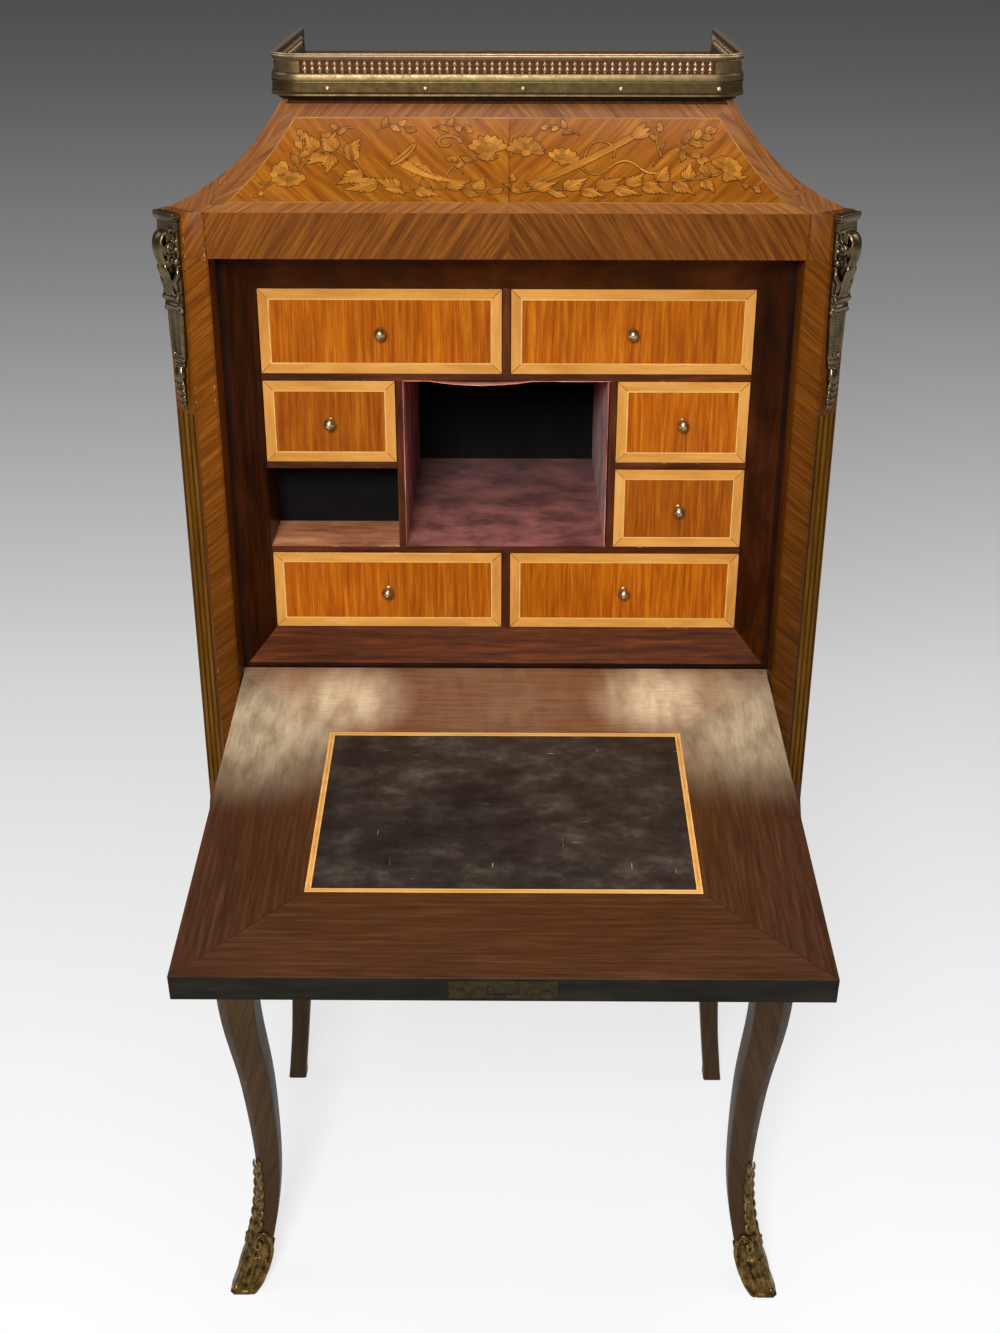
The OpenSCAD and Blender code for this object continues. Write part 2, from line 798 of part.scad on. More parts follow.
// The gap between two balusters, wide at their necks and narrow at their swells
module baluster_gap() {
    h = pierced_h;
    wide = baluster_pitch * 0.36;
    tight = baluster_pitch * 0.2;
    polygon([
        [-wide, -h / 2 + 0.6], [wide, -h / 2 + 0.6], [wide, -h * 0.38], [tight, -h * 0.24],
        [wide, -h * 0.06], [wide, h * 0.06], [tight, h * 0.24], [wide, h * 0.38],
        [wide, h / 2 - 0.6], [-wide, h / 2 - 0.6], [-wide, h * 0.38], [-tight, h * 0.24],
        [-wide, h * 0.06], [-wide, -h * 0.06], [-tight, -h * 0.24], [-wide, -h * 0.38]
    ]);
}

// A pierced strip of the given length with a row of balusters, middle at the origin
module pierced_strip(length) {
    count = floor(length / baluster_pitch) - 1;
    difference() {
        square([length, pierced_h + 2 * eps], center = true);
        for (i = [0:count - 1]) translate([(i - (count - 1) / 2) * baluster_pitch, 0])
            baluster_gap();
    }
}

// Base moulding, pierced strips with plain round corners, top rail and two end posts
module gallery() {
    straight = 2 * (platform_half - platform_r);
    side_y0 = platform_y + platform_r;
    side_l = gallery_back - side_y0 - gallery_base_w;
    mid_z = platform_top + gallery_base_h + pierced_h / 2;
    color("darkgoldenrod") {
        translate([0, 0, platform_top - gallery_bed])
            linear_extrude(gallery_base_h + gallery_bed)
            edge_ring(gallery_over, -gallery_bed_w, gallery_back);
        translate([0, 0, platform_top + gallery_h - gallery_rail_h])
            linear_extrude(gallery_rail_h) edge_ring(1.5, 1.5 - gallery_rail_w, gallery_back);
        translate([0, 0, mid_z]) along_y(platform_y - wall_out, platform_y - wall_out + gallery_wall)
            pierced_strip(straight);
        for (side = [-1, 1]) {
            translate([0, side_y0 + side_l / 2, mid_z])
                along_x(side * (platform_half + wall_out - gallery_wall / 2) - gallery_wall / 2,
                        side * (platform_half + wall_out - gallery_wall / 2) + gallery_wall / 2)
                pierced_strip(side_l);
            translate([0, 0, platform_top + gallery_base_h - eps])
                linear_extrude(pierced_h + 2 * eps) intersection() {
                    edge_ring(wall_out, wall_out - gallery_wall, gallery_back);
                    translate([side * platform_half, platform_y + platform_r / 2])
                        square([2 * platform_r, platform_r], center = true);
                }
            end_x = side * (platform_half + gallery_over - gallery_base_w / 2);
            box([end_x - gallery_base_w / 2, gallery_back - gallery_base_w, platform_top + 1],
                [end_x + gallery_base_w / 2, gallery_back, platform_top + gallery_h - 1]);
        }
    }
}

module band_pin() {
    rotate_extrude() intersection() {
        translate([0, -band_pin_r * 0.5]) circle(r = band_pin_r);
        square([band_pin_r, band_pin_r]);
    }
}

// Round-headed pins that hold the band
module gallery_pins() {
    z = band_z + band_h / 2;
    side_pitch = (gallery_back - platform_y - platform_r) / 3;
    color("gold") {
        for (i = [0:band_pins - 1])
            translate([band_pin_first + i * band_pin_pitch, platform_y - band_t, z])
                rotate([90, 0, 0]) band_pin();
        for (side = [-1, 1], i = [0:2])
            translate([side * (platform_half + band_t), platform_y + platform_r
                       + (i + 0.5) * side_pitch, z])
                rotate([0, side * 90, 0]) band_pin();
    }
}

// Moves what is drawn against a wall at Y = 0 to the left post's cant, top at Z = 0
module at_cant() {
    translate([-half_w + cant / 2, cant / 2, case_top]) rotate([0, 0, -45]) children();
}

// Cast mount: capital, bracket with two scrolls (height, distance out and radius of each),
// fluted term, collar and a drop of husks
module corner_mount(right) {
    half = mount_w / 2;
    cap_h = 15;
    bracket_h = mount_l * 0.36;
    term_top = -cap_h - bracket_h;
    term_h = mount_l * 0.28;
    collar_z = term_top - term_h;
    husks = 5;
    husk_h = (mount_l - cap_h - bracket_h - term_h - 6) / husks;
    color("darkolivegreen") mirror_right(right) at_cant() intersection() {
        union() {
            along_x(-half, half) polygon([
                [0, 0], [-14, 0], [-14, -5], [-11, -8], [-9, -cap_h + 1], [-7, -cap_h], [0, -cap_h]
            ]);
            along_x(-half * 0.72, half * 0.72) bracket_outline(cap_h, bracket_h);
            for (s = [[-cap_h - 9, 9, 8], [term_top + 8, 6, 6.5]])
                translate([0, -s[1], s[0]]) rotate([0, 90, 0])
                    cylinder(r = s[2], h = mount_w * 0.86, center = true);
            fluted_term(term_top, term_h);
            box([-11, -8, collar_z - 6], [11, 0, collar_z]);
            for (i = [0:husks - 1])
                translate([0, 0, collar_z - 6 - i * husk_h]) husk(husk_h, 8.5 - i * 1.1);
        }
        box([-half, -far, -mount_l], [half, 0, 0]);
    }
}

module bracket_outline(cap_h, bracket_h) {
    polygon([
        [0, -cap_h + 1], [-15, -cap_h - 3], [-17, -cap_h - 12], [-16, -cap_h - 22],
        [-12, -cap_h - bracket_h * 0.6], [-10, -cap_h - bracket_h * 0.85],
        [-7, -cap_h - bracket_h - 1], [0, -cap_h - bracket_h - 1]
    ]);
}

// Tapered pilaster with three flutes
module fluted_term(top, h) {
    difference() {
        translate([0, 0, top - h - eps]) linear_extrude(h + 2 * eps)
            polygon([[-9, 0], [-9, -4], [-7, -7], [7, -7], [9, -4], [9, 0]]);
        for (i = [-1:1]) translate([i * 4.4, -8, top - h + 4]) cylinder(r = 1.8, h = h - 10);
    }
}

// One bell-shaped husk, cut in half by the wall behind it
module husk(h, r) {
    translate([0, 0, -h]) rotate_extrude() polygon([
        [0, 0], [r * 0.55, 0], [r, h * 0.3], [r * 0.8, h * 0.65], [r * 0.4, h + eps], [0, h + eps]
    ]);
}

// Gilt shoe round the foot, with a leaf that climbs the leg's outer corner
module sabot(right) {
    color("darkgoldenrod") mirror_right(right) difference() {
        union() {
            intersection() {
                translate([-half_w, 0, 0]) leg_at_corner(front_leg, shoe_t);
                shoe_limit();
            }
            intersection() {
                translate([-half_w, 0, 0]) leg_at_corner(front_leg, shoe_t + leaf_relief);
                leaf_limit();
            }
        }
        front_leg_left();
    }
}

// The shoe's height, lower on the inner side of the leg
module shoe_limit() {
    translate([-half_w, 0, 0]) rotate([0, 0, -45]) along_x(-far, far) polygon([
        [-far, 0], [far, 0], [far, shoe_h * 0.62], [ankle_w * 1.2, shoe_h * 0.62],
        [ankle_w * 0.4, shoe_h * 0.8], [-ankle_w * 0.8, shoe_h * 1.15], [-far, shoe_h * 1.15]
    ]);
}

// The leaf's scalloped outline, seen along the leg's diagonal, over the outer corner only
module leaf_limit() {
    w = ankle_w * 0.62;
    h = shoe_leaf_h;
    corner_y = (ankle_in + ankle_w / 2) * sqrt(2);
    translate([-half_w, 0, 0]) rotate([0, 0, -45]) along_y(-far, corner_y) polygon([
        [-w, 0], [w, 0], [w, h * 0.32], [w * 0.7, h * 0.4], [w * 0.9, h * 0.5],
        [w * 0.5, h * 0.6], [w * 0.6, h * 0.75], [w * 0.3, h * 0.85], [0, h],
        [-w * 0.3, h * 0.85], [-w * 0.6, h * 0.75], [-w * 0.5, h * 0.6], [-w * 0.9, h * 0.5],
        [-w * 0.7, h * 0.4], [-w, h * 0.32]
    ]);
}

// Jamb plate of the left hinge, let into the post
module jamb_plate_body() {
    translate([-open_half - plate_t, pivot_back, pivot_z]) rotate([0, 90, 0])
        linear_extrude(plate_t) round_strip(-plate_w / 2, jamb_plate_l, plate_w);
}

module jamb_hinges() {
    color("gold") for (right = [false, true]) mirror_right(right) {
        jamb_plate_body();
        translate([-open_half - eps, pivot_back, pivot_z]) rotate([0, 90, 0])
            cylinder(r = pin_r, h = fall_side_gap + plate_t + pin_reach);
    }
}

// Fall plate of the left hinge, in the fall's frame
module fall_plate_body() {
    lift = fall_under + 1 + plate_w / 2;
    translate([-fall_half, 0, lift]) rotate([90, 0, 90]) linear_extrude(plate_t)
        round_strip(plate_end - fall_plate_l, plate_end, plate_w);
}

module fall_hinges() {
    color("gold") at_fall() for (right = [false, true]) mirror_right(right) difference() {
        fall_plate_body();
        translate([-fall_half - 1, 0, 0]) rotate([0, 90, 0])
            cylinder(r = pin_r + pin_clear, h = plate_t + 2);
    }
}

// The fall board with its beds for the leather, the hinge plates and the lock
module fall_panel() {
    color("saddlebrown") at_fall() difference() {
        box([-fall_half, fall_front, fall_under], [fall_half, fall_tail, pivot_drop]);
        leather_body(1);
        for (right = [false, true]) mirror_right(right) {
            fall_plate_body();
            translate([-fall_half - 1, 0, 0]) rotate([0, 90, 0])
                cylinder(r = pin_r + 0.4, h = plate_t + pin_reach + 2);
        }
        lock_case_body();
        lock_plate_body();
        keyhole(fall_under - 1);
        translate([0, 0, fall_under]) escutcheon_body(-1, escutcheon_t / 2);
    }
}

module leather_body(extra) {
    y0 = fall_front + leather_margin;
    box([-leather_w / 2, y0, pivot_drop - leather_t],
        [leather_w / 2, y0 + leather_l, pivot_drop + extra]);
}

module writing_leather() {
    color("black") at_fall() leather_body(0);
}

module lock_plate_body() {
    box([-lock_plate_l / 2, fall_front, fall_mid - lock_plate_w / 2],
        [lock_plate_l / 2, fall_front + lock_plate_t, fall_mid + lock_plate_w / 2]);
}

module lock_case_body() {
    box([-lock_case_l / 2, fall_front + lock_plate_t - eps, fall_mid - lock_case_t / 2],
        [lock_case_l / 2, fall_front + lock_plate_t + lock_case_d, fall_mid + lock_case_t / 2]);
}

// The bolt's way through the plate, grown by its running gap
module bolt_slot() {
    box([-bolt_w / 2 - slot_gap, fall_front - 1, fall_mid - bolt_t / 2 - slot_gap],
        [bolt_w / 2 + slot_gap, fall_front + lock_plate_t + lock_wall + 1,
         fall_mid + bolt_t / 2 + slot_gap]);
}

module keyhole(from) {
    y = fall_front + lock_backset;
    translate([0, y, from]) {
        cylinder(r = keyhole_r, h = fall_mid - from);
        translate([-keyhole_r * 0.45, 0, 0]) cube([keyhole_r * 0.9, 8, fall_mid - from]);
    }
}

// Sheet-metal lock case, hollow, with a mouth for the bolt and a keyhole
module lock_case() {
    y0 = fall_front + lock_plate_t;
    color("dimgray") at_fall() difference() {
        box([-lock_case_l / 2, y0, fall_mid - lock_case_t / 2],
            [lock_case_l / 2, y0 + lock_case_d, fall_mid + lock_case_t / 2]);
        box([-lock_case_l / 2 + lock_wall, y0 + lock_wall, fall_mid - lock_case_t / 2 + lock_wall],
            [lock_case_l / 2 - lock_wall, y0 + lock_case_d - lock_wall,
             fall_mid + lock_case_t / 2 - lock_wall]);
        bolt_slot();
        keyhole(fall_mid - lock_case_t / 2 - 1);
    }
}

module lock_plate() {
    color("gold") at_fall() difference() {
        lock_plate_body();
        bolt_slot();
        for (side = [-1, 1]) translate([side * lock_screw_x, fall_front - 1, fall_mid])
            rotate([-90, 0, 0]) cylinder(r = lock_screw_r, h = lock_plate_t + 2);
    }
}

// Slotted screw heads that lie flush in the plate
module lock_screws() {
    color("darkgray") at_fall() for (side = [-1, 1])
        translate([side * lock_screw_x, fall_front + 0.1, fall_mid]) rotate([-90, 0, 0])
            difference() {
                cylinder(r = lock_screw_r, h = lock_plate_t - 0.1);
                translate([-lock_screw_r, -0.4, -eps]) cube([2 * lock_screw_r, 0.8, 0.8]);
            }
}

// Flat head that shows in the slot, on a wider tail inside the case
module lock_bolt() {
    y0 = fall_front + 0.3;
    tail_y = fall_front + lock_plate_t + lock_wall + bolt_throw + 1;
    color("silver") at_fall() {
        box([-bolt_w / 2, y0, fall_mid - bolt_t / 2], [bolt_w / 2, tail_y + 8, fall_mid + bolt_t / 2]);
        box([-bolt_w / 2 - 8, tail_y, fall_mid - bolt_t / 2],
            [bolt_w / 2 + 8, tail_y + 8, fall_mid + bolt_t / 2]);
    }
}

module escutcheon_body(low, high) {
    translate([0, fall_front + lock_backset + 2, low]) rotate(90) linear_extrude(high - low)
        round_strip(-escutcheon_l / 2, escutcheon_l / 2, escutcheon_w);
}

module escutcheon() {
    color("gold") at_fall() difference() {
        translate([0, 0, fall_under]) escutcheon_body(-escutcheon_t / 2, escutcheon_t / 2);
        keyhole(fall_under - 2);
    }
}

module strike_plate() {
    bolt_y = pivot_back + fall_mid;
    color("gold") difference() {
        box([-strike_l / 2, bolt_y - strike_w / 2, open_top],
            [strike_l / 2, bolt_y + strike_w / 2, open_top + strike_t]);
        box([-bolt_w / 2 - 1, bolt_y - bolt_t / 2 - 1, open_top - 1],
            [bolt_w / 2 + 1, bolt_y + bolt_t / 2 + 1, open_top + strike_t + 1]);
    }
}

placed() front_post(false);  // front_post_left
placed() front_post(true);  // front_post_right
placed() rear_post(false);  // rear_post_left
placed() rear_post(true);  // rear_post_right
placed() side_panel(false);  // side_panel_left
placed() side_panel(true);  // side_panel_right
placed() back_panel();
placed() top_rail();
placed() bottom_rail();
placed() case_bottom();
placed() roof_front();
placed() roof_side(false);  // roof_left
placed() roof_side(true);  // roof_right
placed() platform();
placed() gallery();
placed() gallery_band();
placed() gallery_pins();
placed() corner_mount(false);  // corner_mount_left
placed() corner_mount(true);  // corner_mount_right
placed() sabot(false);  // sabot_left
placed() sabot(true);  // sabot_right
placed() surround_stiles();
placed() surround_rails();
placed() nest_shelves();
placed() nest_uprights();
placed() nest_back();
placed() velvet_floor();
placed() velvet_walls();
placed() velvet_ceiling();
placed() jamb_hinges();
placed() strike_plate();
placed() fall_panel();
placed() writing_leather();
placed() fall_hinges();
placed() lock_case();
placed() lock_plate();
placed() lock_screws();
placed() escutcheon();
placed() lock_bolt();
placed() drawer_front(TOP_LEFT);  // top_left_front
placed() drawer_box(TOP_LEFT);  // top_left_box
placed() drawer_knob(TOP_LEFT);  // top_left_knob
placed() drawer_front(TOP_RIGHT);  // top_right_front
placed() drawer_box(TOP_RIGHT);  // top_right_box
placed() drawer_knob(TOP_RIGHT);  // top_right_knob
placed() drawer_front(UPPER_LEFT);  // upper_left_front
placed() drawer_box(UPPER_LEFT);  // upper_left_box
placed() drawer_knob(UPPER_LEFT);  // upper_left_knob
placed() drawer_front(UPPER_RIGHT);  // upper_right_front
placed() drawer_box(UPPER_RIGHT);  // upper_right_box
placed() drawer_knob(UPPER_RIGHT);  // upper_right_knob
placed() drawer_front(LOWER_RIGHT);  // lower_right_front
placed() drawer_box(LOWER_RIGHT);  // lower_right_box
placed() drawer_knob(LOWER_RIGHT);  // lower_right_knob
placed() drawer_front(BOTTOM_LEFT);  // bottom_left_front
placed() drawer_box(BOTTOM_LEFT);  // bottom_left_box
placed() drawer_knob(BOTTOM_LEFT);  // bottom_left_knob
placed() drawer_front(BOTTOM_RIGHT);  // bottom_right_front
placed() drawer_box(BOTTOM_RIGHT);  // bottom_right_box
placed() drawer_knob(BOTTOM_RIGHT);  // bottom_right_knob
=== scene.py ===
from math import atan2, cos, hypot, pi, radians, sin, sqrt

import bmesh
import bpy
from mathutils import Matrix, Vector, noise
from mathutils.bvhtree import BVHTree


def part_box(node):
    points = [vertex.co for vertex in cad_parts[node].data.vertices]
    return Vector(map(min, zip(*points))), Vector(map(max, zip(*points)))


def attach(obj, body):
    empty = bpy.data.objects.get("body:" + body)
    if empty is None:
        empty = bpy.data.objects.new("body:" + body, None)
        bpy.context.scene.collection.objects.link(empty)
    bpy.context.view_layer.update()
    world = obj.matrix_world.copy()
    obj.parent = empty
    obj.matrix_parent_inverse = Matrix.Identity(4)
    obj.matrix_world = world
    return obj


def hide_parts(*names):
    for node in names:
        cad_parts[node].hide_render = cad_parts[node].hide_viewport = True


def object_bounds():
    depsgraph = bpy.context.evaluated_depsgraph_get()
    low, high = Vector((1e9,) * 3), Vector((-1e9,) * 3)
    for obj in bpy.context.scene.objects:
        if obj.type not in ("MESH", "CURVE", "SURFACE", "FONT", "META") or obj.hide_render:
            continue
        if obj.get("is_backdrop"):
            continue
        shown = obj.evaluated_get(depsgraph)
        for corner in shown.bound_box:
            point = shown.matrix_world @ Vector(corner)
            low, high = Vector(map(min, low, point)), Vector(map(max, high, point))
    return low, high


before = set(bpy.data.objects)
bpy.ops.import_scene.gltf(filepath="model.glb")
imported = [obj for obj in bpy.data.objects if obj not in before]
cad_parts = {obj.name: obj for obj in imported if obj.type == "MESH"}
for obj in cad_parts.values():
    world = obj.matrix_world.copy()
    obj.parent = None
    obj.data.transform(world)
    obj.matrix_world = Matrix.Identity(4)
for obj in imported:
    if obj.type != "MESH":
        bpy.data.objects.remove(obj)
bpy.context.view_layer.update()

# Camera
# The eye of someone who stands a step and a half in front of the open desk and looks down
# at its writing surface.
eye = bpy.data.cameras.new("eye")
eye.lens = 45.015
eye.sensor_width = 36.0
camera = bpy.data.objects.new("camera", eye)
camera.location = (0.0033, -1.35945, 1.4255)
look_down, look_left, lean = radians(90 - 25.88), radians(0.34), radians(0.08)
camera.rotation_euler = (
    Matrix.Rotation(look_left, 3, "Z") @ Matrix.Rotation(look_down, 3, "X")
    @ Matrix.Rotation(lean, 3, "Z")
).to_euler()
bpy.context.scene.collection.objects.link(camera)
bpy.context.scene.camera = camera
bpy.context.scene.view_settings.view_transform = "Standard"

# Studio
# A pale paper floor that sweeps up into a wall which gets darker with its height, one soft
# lamp over the eye, weak ones above and on both sides, and even light from the room.


def tint(red, green, blue):
    """The linear colour of a paint chip, given in steps from 0 to 255."""
    steps = (value / 255 for value in (red, green, blue))
    return tuple(v / 12.92 if v <= 0.04045 else ((v + 0.055) / 1.055) ** 2.4
                 for v in steps) + (1.0,)


def grey(level):
    return (level, level, level, 1.0)


def join(tree, value, socket):
    """Links an output to a socket, or writes a plain value on it."""
    if isinstance(value, bpy.types.NodeSocket):
        tree.links.new(value, socket)
    else:
        socket.default_value = value


def plug(tree, node, **sockets):
    """Gives a node a value or a link in each named socket."""
    for key, value in sockets.items():
        join(tree, value, node.inputs[key.replace("_", " ")])


def add(tree, kind, settings=(), *values, **sockets):
    """A shader node with its settings. Values and links go in its sockets, in order or by
    name."""
    made = tree.nodes.new("ShaderNode" + kind)
    for key, value in dict(settings).items():
        setattr(made, key, value)
    for value, socket in zip(values, made.inputs):
        join(tree, value, socket)
    plug(tree, made, **sockets)
    return made


def own_place(tree):
    return add(tree, "TexCoord").outputs["Object"]


def mixed(tree, share, first, second, mode="MIX"):
    """Two colours mixed, the second one by its share."""
    mixer = add(tree, "Mix", {"data_type": "RGBA", "blend_type": mode})
    for value, socket in ((share, 0), (first, 6), (second, 7)):
        join(tree, value, mixer.inputs[socket])
    return mixer.outputs[2]


def graded(tree, value, *stops):
    """Colours along a scale, each stop a place and a colour."""
    scale = add(tree, "ValToRGB", Fac=value)
    marks = scale.color_ramp.elements
    while len(marks) < len(stops):
        marks.new(0.5)
    for mark, (place, colour) in zip(marks, stops):
        mark.position, mark.color = place, colour
    return scale.outputs["Color"]


def reckon(tree, how, *values):
    """One sum on numbers."""
    return add(tree, "Math", {"operation": how}, *values).outputs["Value"]


def link(piece):
    bpy.context.scene.collection.objects.link(piece)
    return piece


def mesh_of(shape, name):
    """Turns an open shape into a mesh, and lets go of the shape."""
    mesh = bpy.data.meshes.new(name)
    shape.to_mesh(mesh)
    shape.free()
    return mesh


def push(shape, line, move):
    """Draws a line of edges out into a strip, and gives the strip's far line."""
    drawn = bmesh.ops.extrude_edge_only(shape, edges=line)["geom"]
    far = [g for g in drawn if isinstance(g, bmesh.types.BMVert)]
    bmesh.ops.translate(shape, verts=far, vec=move)
    return [g for g in drawn if isinstance(g, bmesh.types.BMEdge)
            and all(v in far for v in g.verts)]


def quarter(shape, line, centre, axis, steps):
    """Turns a line of edges a quarter round an axis into a strip, and gives its far line."""
    ends = dict.fromkeys(v for e in line for v in e.verts)
    spun = bmesh.ops.spin(shape, geom=[*ends, *line], cent=centre, axis=axis, angle=pi / 2,
                          steps=steps)["geom_last"]
    return [g for g in spun if isinstance(g, bmesh.types.BMEdge)]


sweep = bmesh.new()
paper_half, paper_front, paper_back, sweep_radius, paper_top = 7.0, -5.0, 1.5, 1.0, 6.0
edge = [sweep.verts.new((x, paper_front, 0)) for x in (-paper_half, paper_half)]
line = push(sweep, [sweep.edges.new(edge)], (0, paper_back - paper_front, 0))
line = quarter(sweep, line, (0, paper_back, sweep_radius), (1, 0, 0), 24)
push(sweep, line, (0, 0, paper_top))
paper = link(bpy.data.objects.new("paper", mesh_of(sweep, "paper")))
paper.data.shade_smooth()
paper_finish = bpy.data.materials.new("studio paper")
paper_finish.use_nodes = True
tree = paper_finish.node_tree
tree.nodes.clear()
place = add(tree, "SeparateXYZ", Vector=own_place(tree))
climb = reckon(tree, "ADD", place.outputs["Y"], place.outputs["Z"])
paper_low, paper_span, glow_strength, lit_tone, plain_tone = -1.0, 5.0, 0.755, 0.36, 0.45
wall_tones = ((-0.05, 0.955), (0.42, 0.89), (1.5, 0.71), (1.85, 0.59), (2.91, 0.26),
              (3.5, 0.107), (3.65, 0.08))
shade = graded(tree, reckon(tree, "MULTIPLY_ADD", climb, 1 / paper_span, -paper_low / paper_span),
               *(((at - paper_low) / paper_span, grey(level)) for at, level in wall_tones))
ray = add(tree, "LightPath")
seen = reckon(tree, "MAXIMUM", ray.outputs["Is Camera Ray"], ray.outputs["Is Glossy Ray"])
glow = add(tree, "Emission", Color=shade, Strength=glow_strength)
lit = add(tree, "BsdfDiffuse", Color=mixed(tree, 1.0, shade, grey(lit_tone), "MULTIPLY"))
bright = add(tree, "AddShader", (), glow.outputs[0], lit.outputs[0])
plain = add(tree, "BsdfDiffuse", Color=grey(plain_tone))
by_ray = add(tree, "MixShader", (), seen, plain.outputs[0], bright.outputs[0])
add(tree, "OutputMaterial", Surface=by_ray.outputs[0])
paper.data.materials.append(paper_finish)
paper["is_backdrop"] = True
for name, at, aim, size, power in (
        ("key_lamp", (-0.3, -2.3, 2.12), (0, 0, 0.9), 0.6, 67),
        ("top_lamp", (0.1, -0.9, 2.9), (0, -0.1, 0.8), 0.9, 14),
        ("left_lamp", (-1.6, 0.2, 2.2), (-0.1, 0, 0.7), 0.8, 6),
        ("right_lamp", (1.6, 0.2, 2.2), (0.1, 0, 0.7), 0.8, 6)):
    light = bpy.data.lights.new(name, "AREA")
    light.size, light.energy = size, power
    lamp = link(bpy.data.objects.new(name, light))
    lamp.location = at
    lamp.rotation_euler = (Vector(aim) - Vector(at)).to_track_quat("-Z", "Y").to_euler()
room = bpy.data.worlds.new("room")
room.use_nodes = True
room_ray = add(room.node_tree, "LightPath")
room_light, room_seen = grey(0.15), grey(0.86)
plug(room.node_tree, room.node_tree.nodes["Background"], Color=mixed(
    room.node_tree, room_ray.outputs["Is Camera Ray"], room_light, room_seen))
bpy.context.scene.world = room

# Corner posts and legs
# Four beech posts, each in one piece with its curved leg, covered with kingwood veneer. The
# front ones have a cant, with strings of pale and dark wood let in to look like flutes.
weld_gap = 2e-6
flat_angle, cut_gap = radians(0.5), 1e-6
# How squarely a face has to stand to an axis to count as lying on that side
square_on, mostly = 0.9, 0.5


def open_board(*nodes):
    """A merged copy of CAD boards, ready to be cut into leaves of veneer."""
    board = bmesh.new()
    for node in nodes:
        board.from_mesh(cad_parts[node].data)
    bmesh.ops.remove_doubles(board, verts=board.verts, dist=weld_gap)
    bmesh.ops.dissolve_limit(board, angle_limit=flat_angle, verts=board.verts, edges=board.edges)
    board.normal_update()
    return board


def ease(board, width, steepest=30, segments=2, flush=None):
    """Rounds the edges that are steeper than an angle, and marks the arris for its wear. Edges
    that lie flush in a joint at plus or minus an X stay sharp."""
    wear = board.faces.layers.float.new("wear")
    sharp = [e for e in board.edges if e.is_manifold and e.calc_face_angle() > radians(steepest)
             and not (flush and all(abs(abs(v.co.x) - flush) < 1e-4 for v in e.verts))]
    new = bmesh.ops.bevel(board, geom=sharp, offset=width, segments=segments, profile=0.5,
                          affect="EDGES", clamp_overlap=True, material=-1)
    for face in new["faces"]:
        if face.is_valid:
            face[wear] = 1.0


def middle_of(face):
    return face.calc_center_median()


def cut(board, at, normal, only=None):
    """Cuts a line through the board's faces where a plane meets them."""
    faces = [f for f in board.faces if only is None or only(f)]
    edges = dict.fromkeys(e for f in faces for e in f.edges)
    verts = dict.fromkeys(v for f in faces for v in f.verts)
    bmesh.ops.bisect_plane(board, geom=[*faces, *edges, *verts], dist=cut_gap,
                           plane_co=at, plane_no=normal)


def cut_at(board, axis, places, only=None):
    """Cuts straight across the axis named x, y or z, at each of the places."""
    way = Vector([float(axis == name) for name in "xyz"])
    for place in places:
        cut(board, way * place, way, only)


def on_front(spot):
    return spot.x, spot.z


def on_side(spot):
    return spot.y, spot.z


def on_top(spot):
    return spot.x, spot.y


def facing(normal):
    """The plane that a face lies nearest to."""
    ways = (abs(normal.x), abs(normal.y), abs(normal.z))
    return (on_side, on_front, on_top)[ways.index(max(ways))]


def lay(board, leaf_of):
    """Lays each face's veneer. The rule gives its plane, the angle of its grain in degrees,
    its leaf's number, how much paler it is, and which finish it has."""
    shift_along, shift_across = 0.37, 0.61
    grain = board.loops.layers.uv.new("grain")
    tone = board.faces.layers.float.new("tone")
    for face in board.faces:
        plane, degrees, leaf, paler, finish = leaf_of(middle_of(face), face.normal)
        along, across = cos(radians(degrees)), sin(radians(degrees))
        face[tone] = paler
        face.material_index = finish
        for loop in face.loops:
            p, q = plane(loop.vert.co)
            loop[grain].uv = (p * along + q * across + leaf * shift_along,
                              q * along - p * across + leaf * shift_across)


def fit(shape, name, body, slot, finishes, *nodes, sharp=22):
    """Makes the finished piece from its shape and puts it on the body that carries it."""
    for edge in shape.edges:
        edge.smooth = not edge.is_manifold or edge.calc_face_angle() < radians(sharp)
    for face in shape.faces:
        face.smooth = True
    piece = link(bpy.data.objects.new(name, mesh_of(shape, name)))
    for finish in finishes:
        piece.data.materials.append(finish)
    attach(piece, body)
    if nodes:
        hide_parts(*nodes)
    return piece


def clad(node, name, body, slot, finishes, rule, rounding=0.0):
    """A CAD board with its edges rounded and covered as the rule says."""
    board = open_board(node)
    if rounding:
        ease(board, rounding)
    lay(board, rule)
    fit(board, name, body, slot, finishes, node)


def new_finish(name):
    finish = bpy.data.materials.new(name)
    finish.use_nodes = True
    return finish, finish.node_tree, finish.node_tree.nodes["Principled BSDF"]


def cloudy(tree, where, stretch, detail=3.0, rough=0.55):
    """Noise over stretched coordinates, from 0 to 1."""
    drawn = add(tree, "VectorMath", {"operation": "MULTIPLY"}, where, stretch)
    return add(tree, "TexNoise", Vector=drawn.outputs["Vector"], Scale=1.0, Detail=detail,
               Roughness=rough).outputs["Fac"]


def span(tree, value, low, high, to_low=0.0, to_high=1.0, curve="LINEAR"):
    """A number brought from one range to another, and kept within it."""
    return add(tree, "MapRange", {"clamp": True, "interpolation_type": curve}, value, low, high,
               to_low, to_high).outputs["Result"]


def product(tree, level, *others):
    for other in others:
        level = reckon(tree, "MULTIPLY", level, other)
    return level


def toned(tree, colour, level):
    """A colour made darker or paler by a number."""
    return add(tree, "VectorMath", {"operation": "SCALE"}, colour, Scale=level).outputs["Vector"]


def relief(tree, height, strength, depth):
    """The way the surface faces, with fine relief in it."""
    return add(tree, "Bump", Height=height, Strength=strength, Distance=depth).outputs["Normal"]


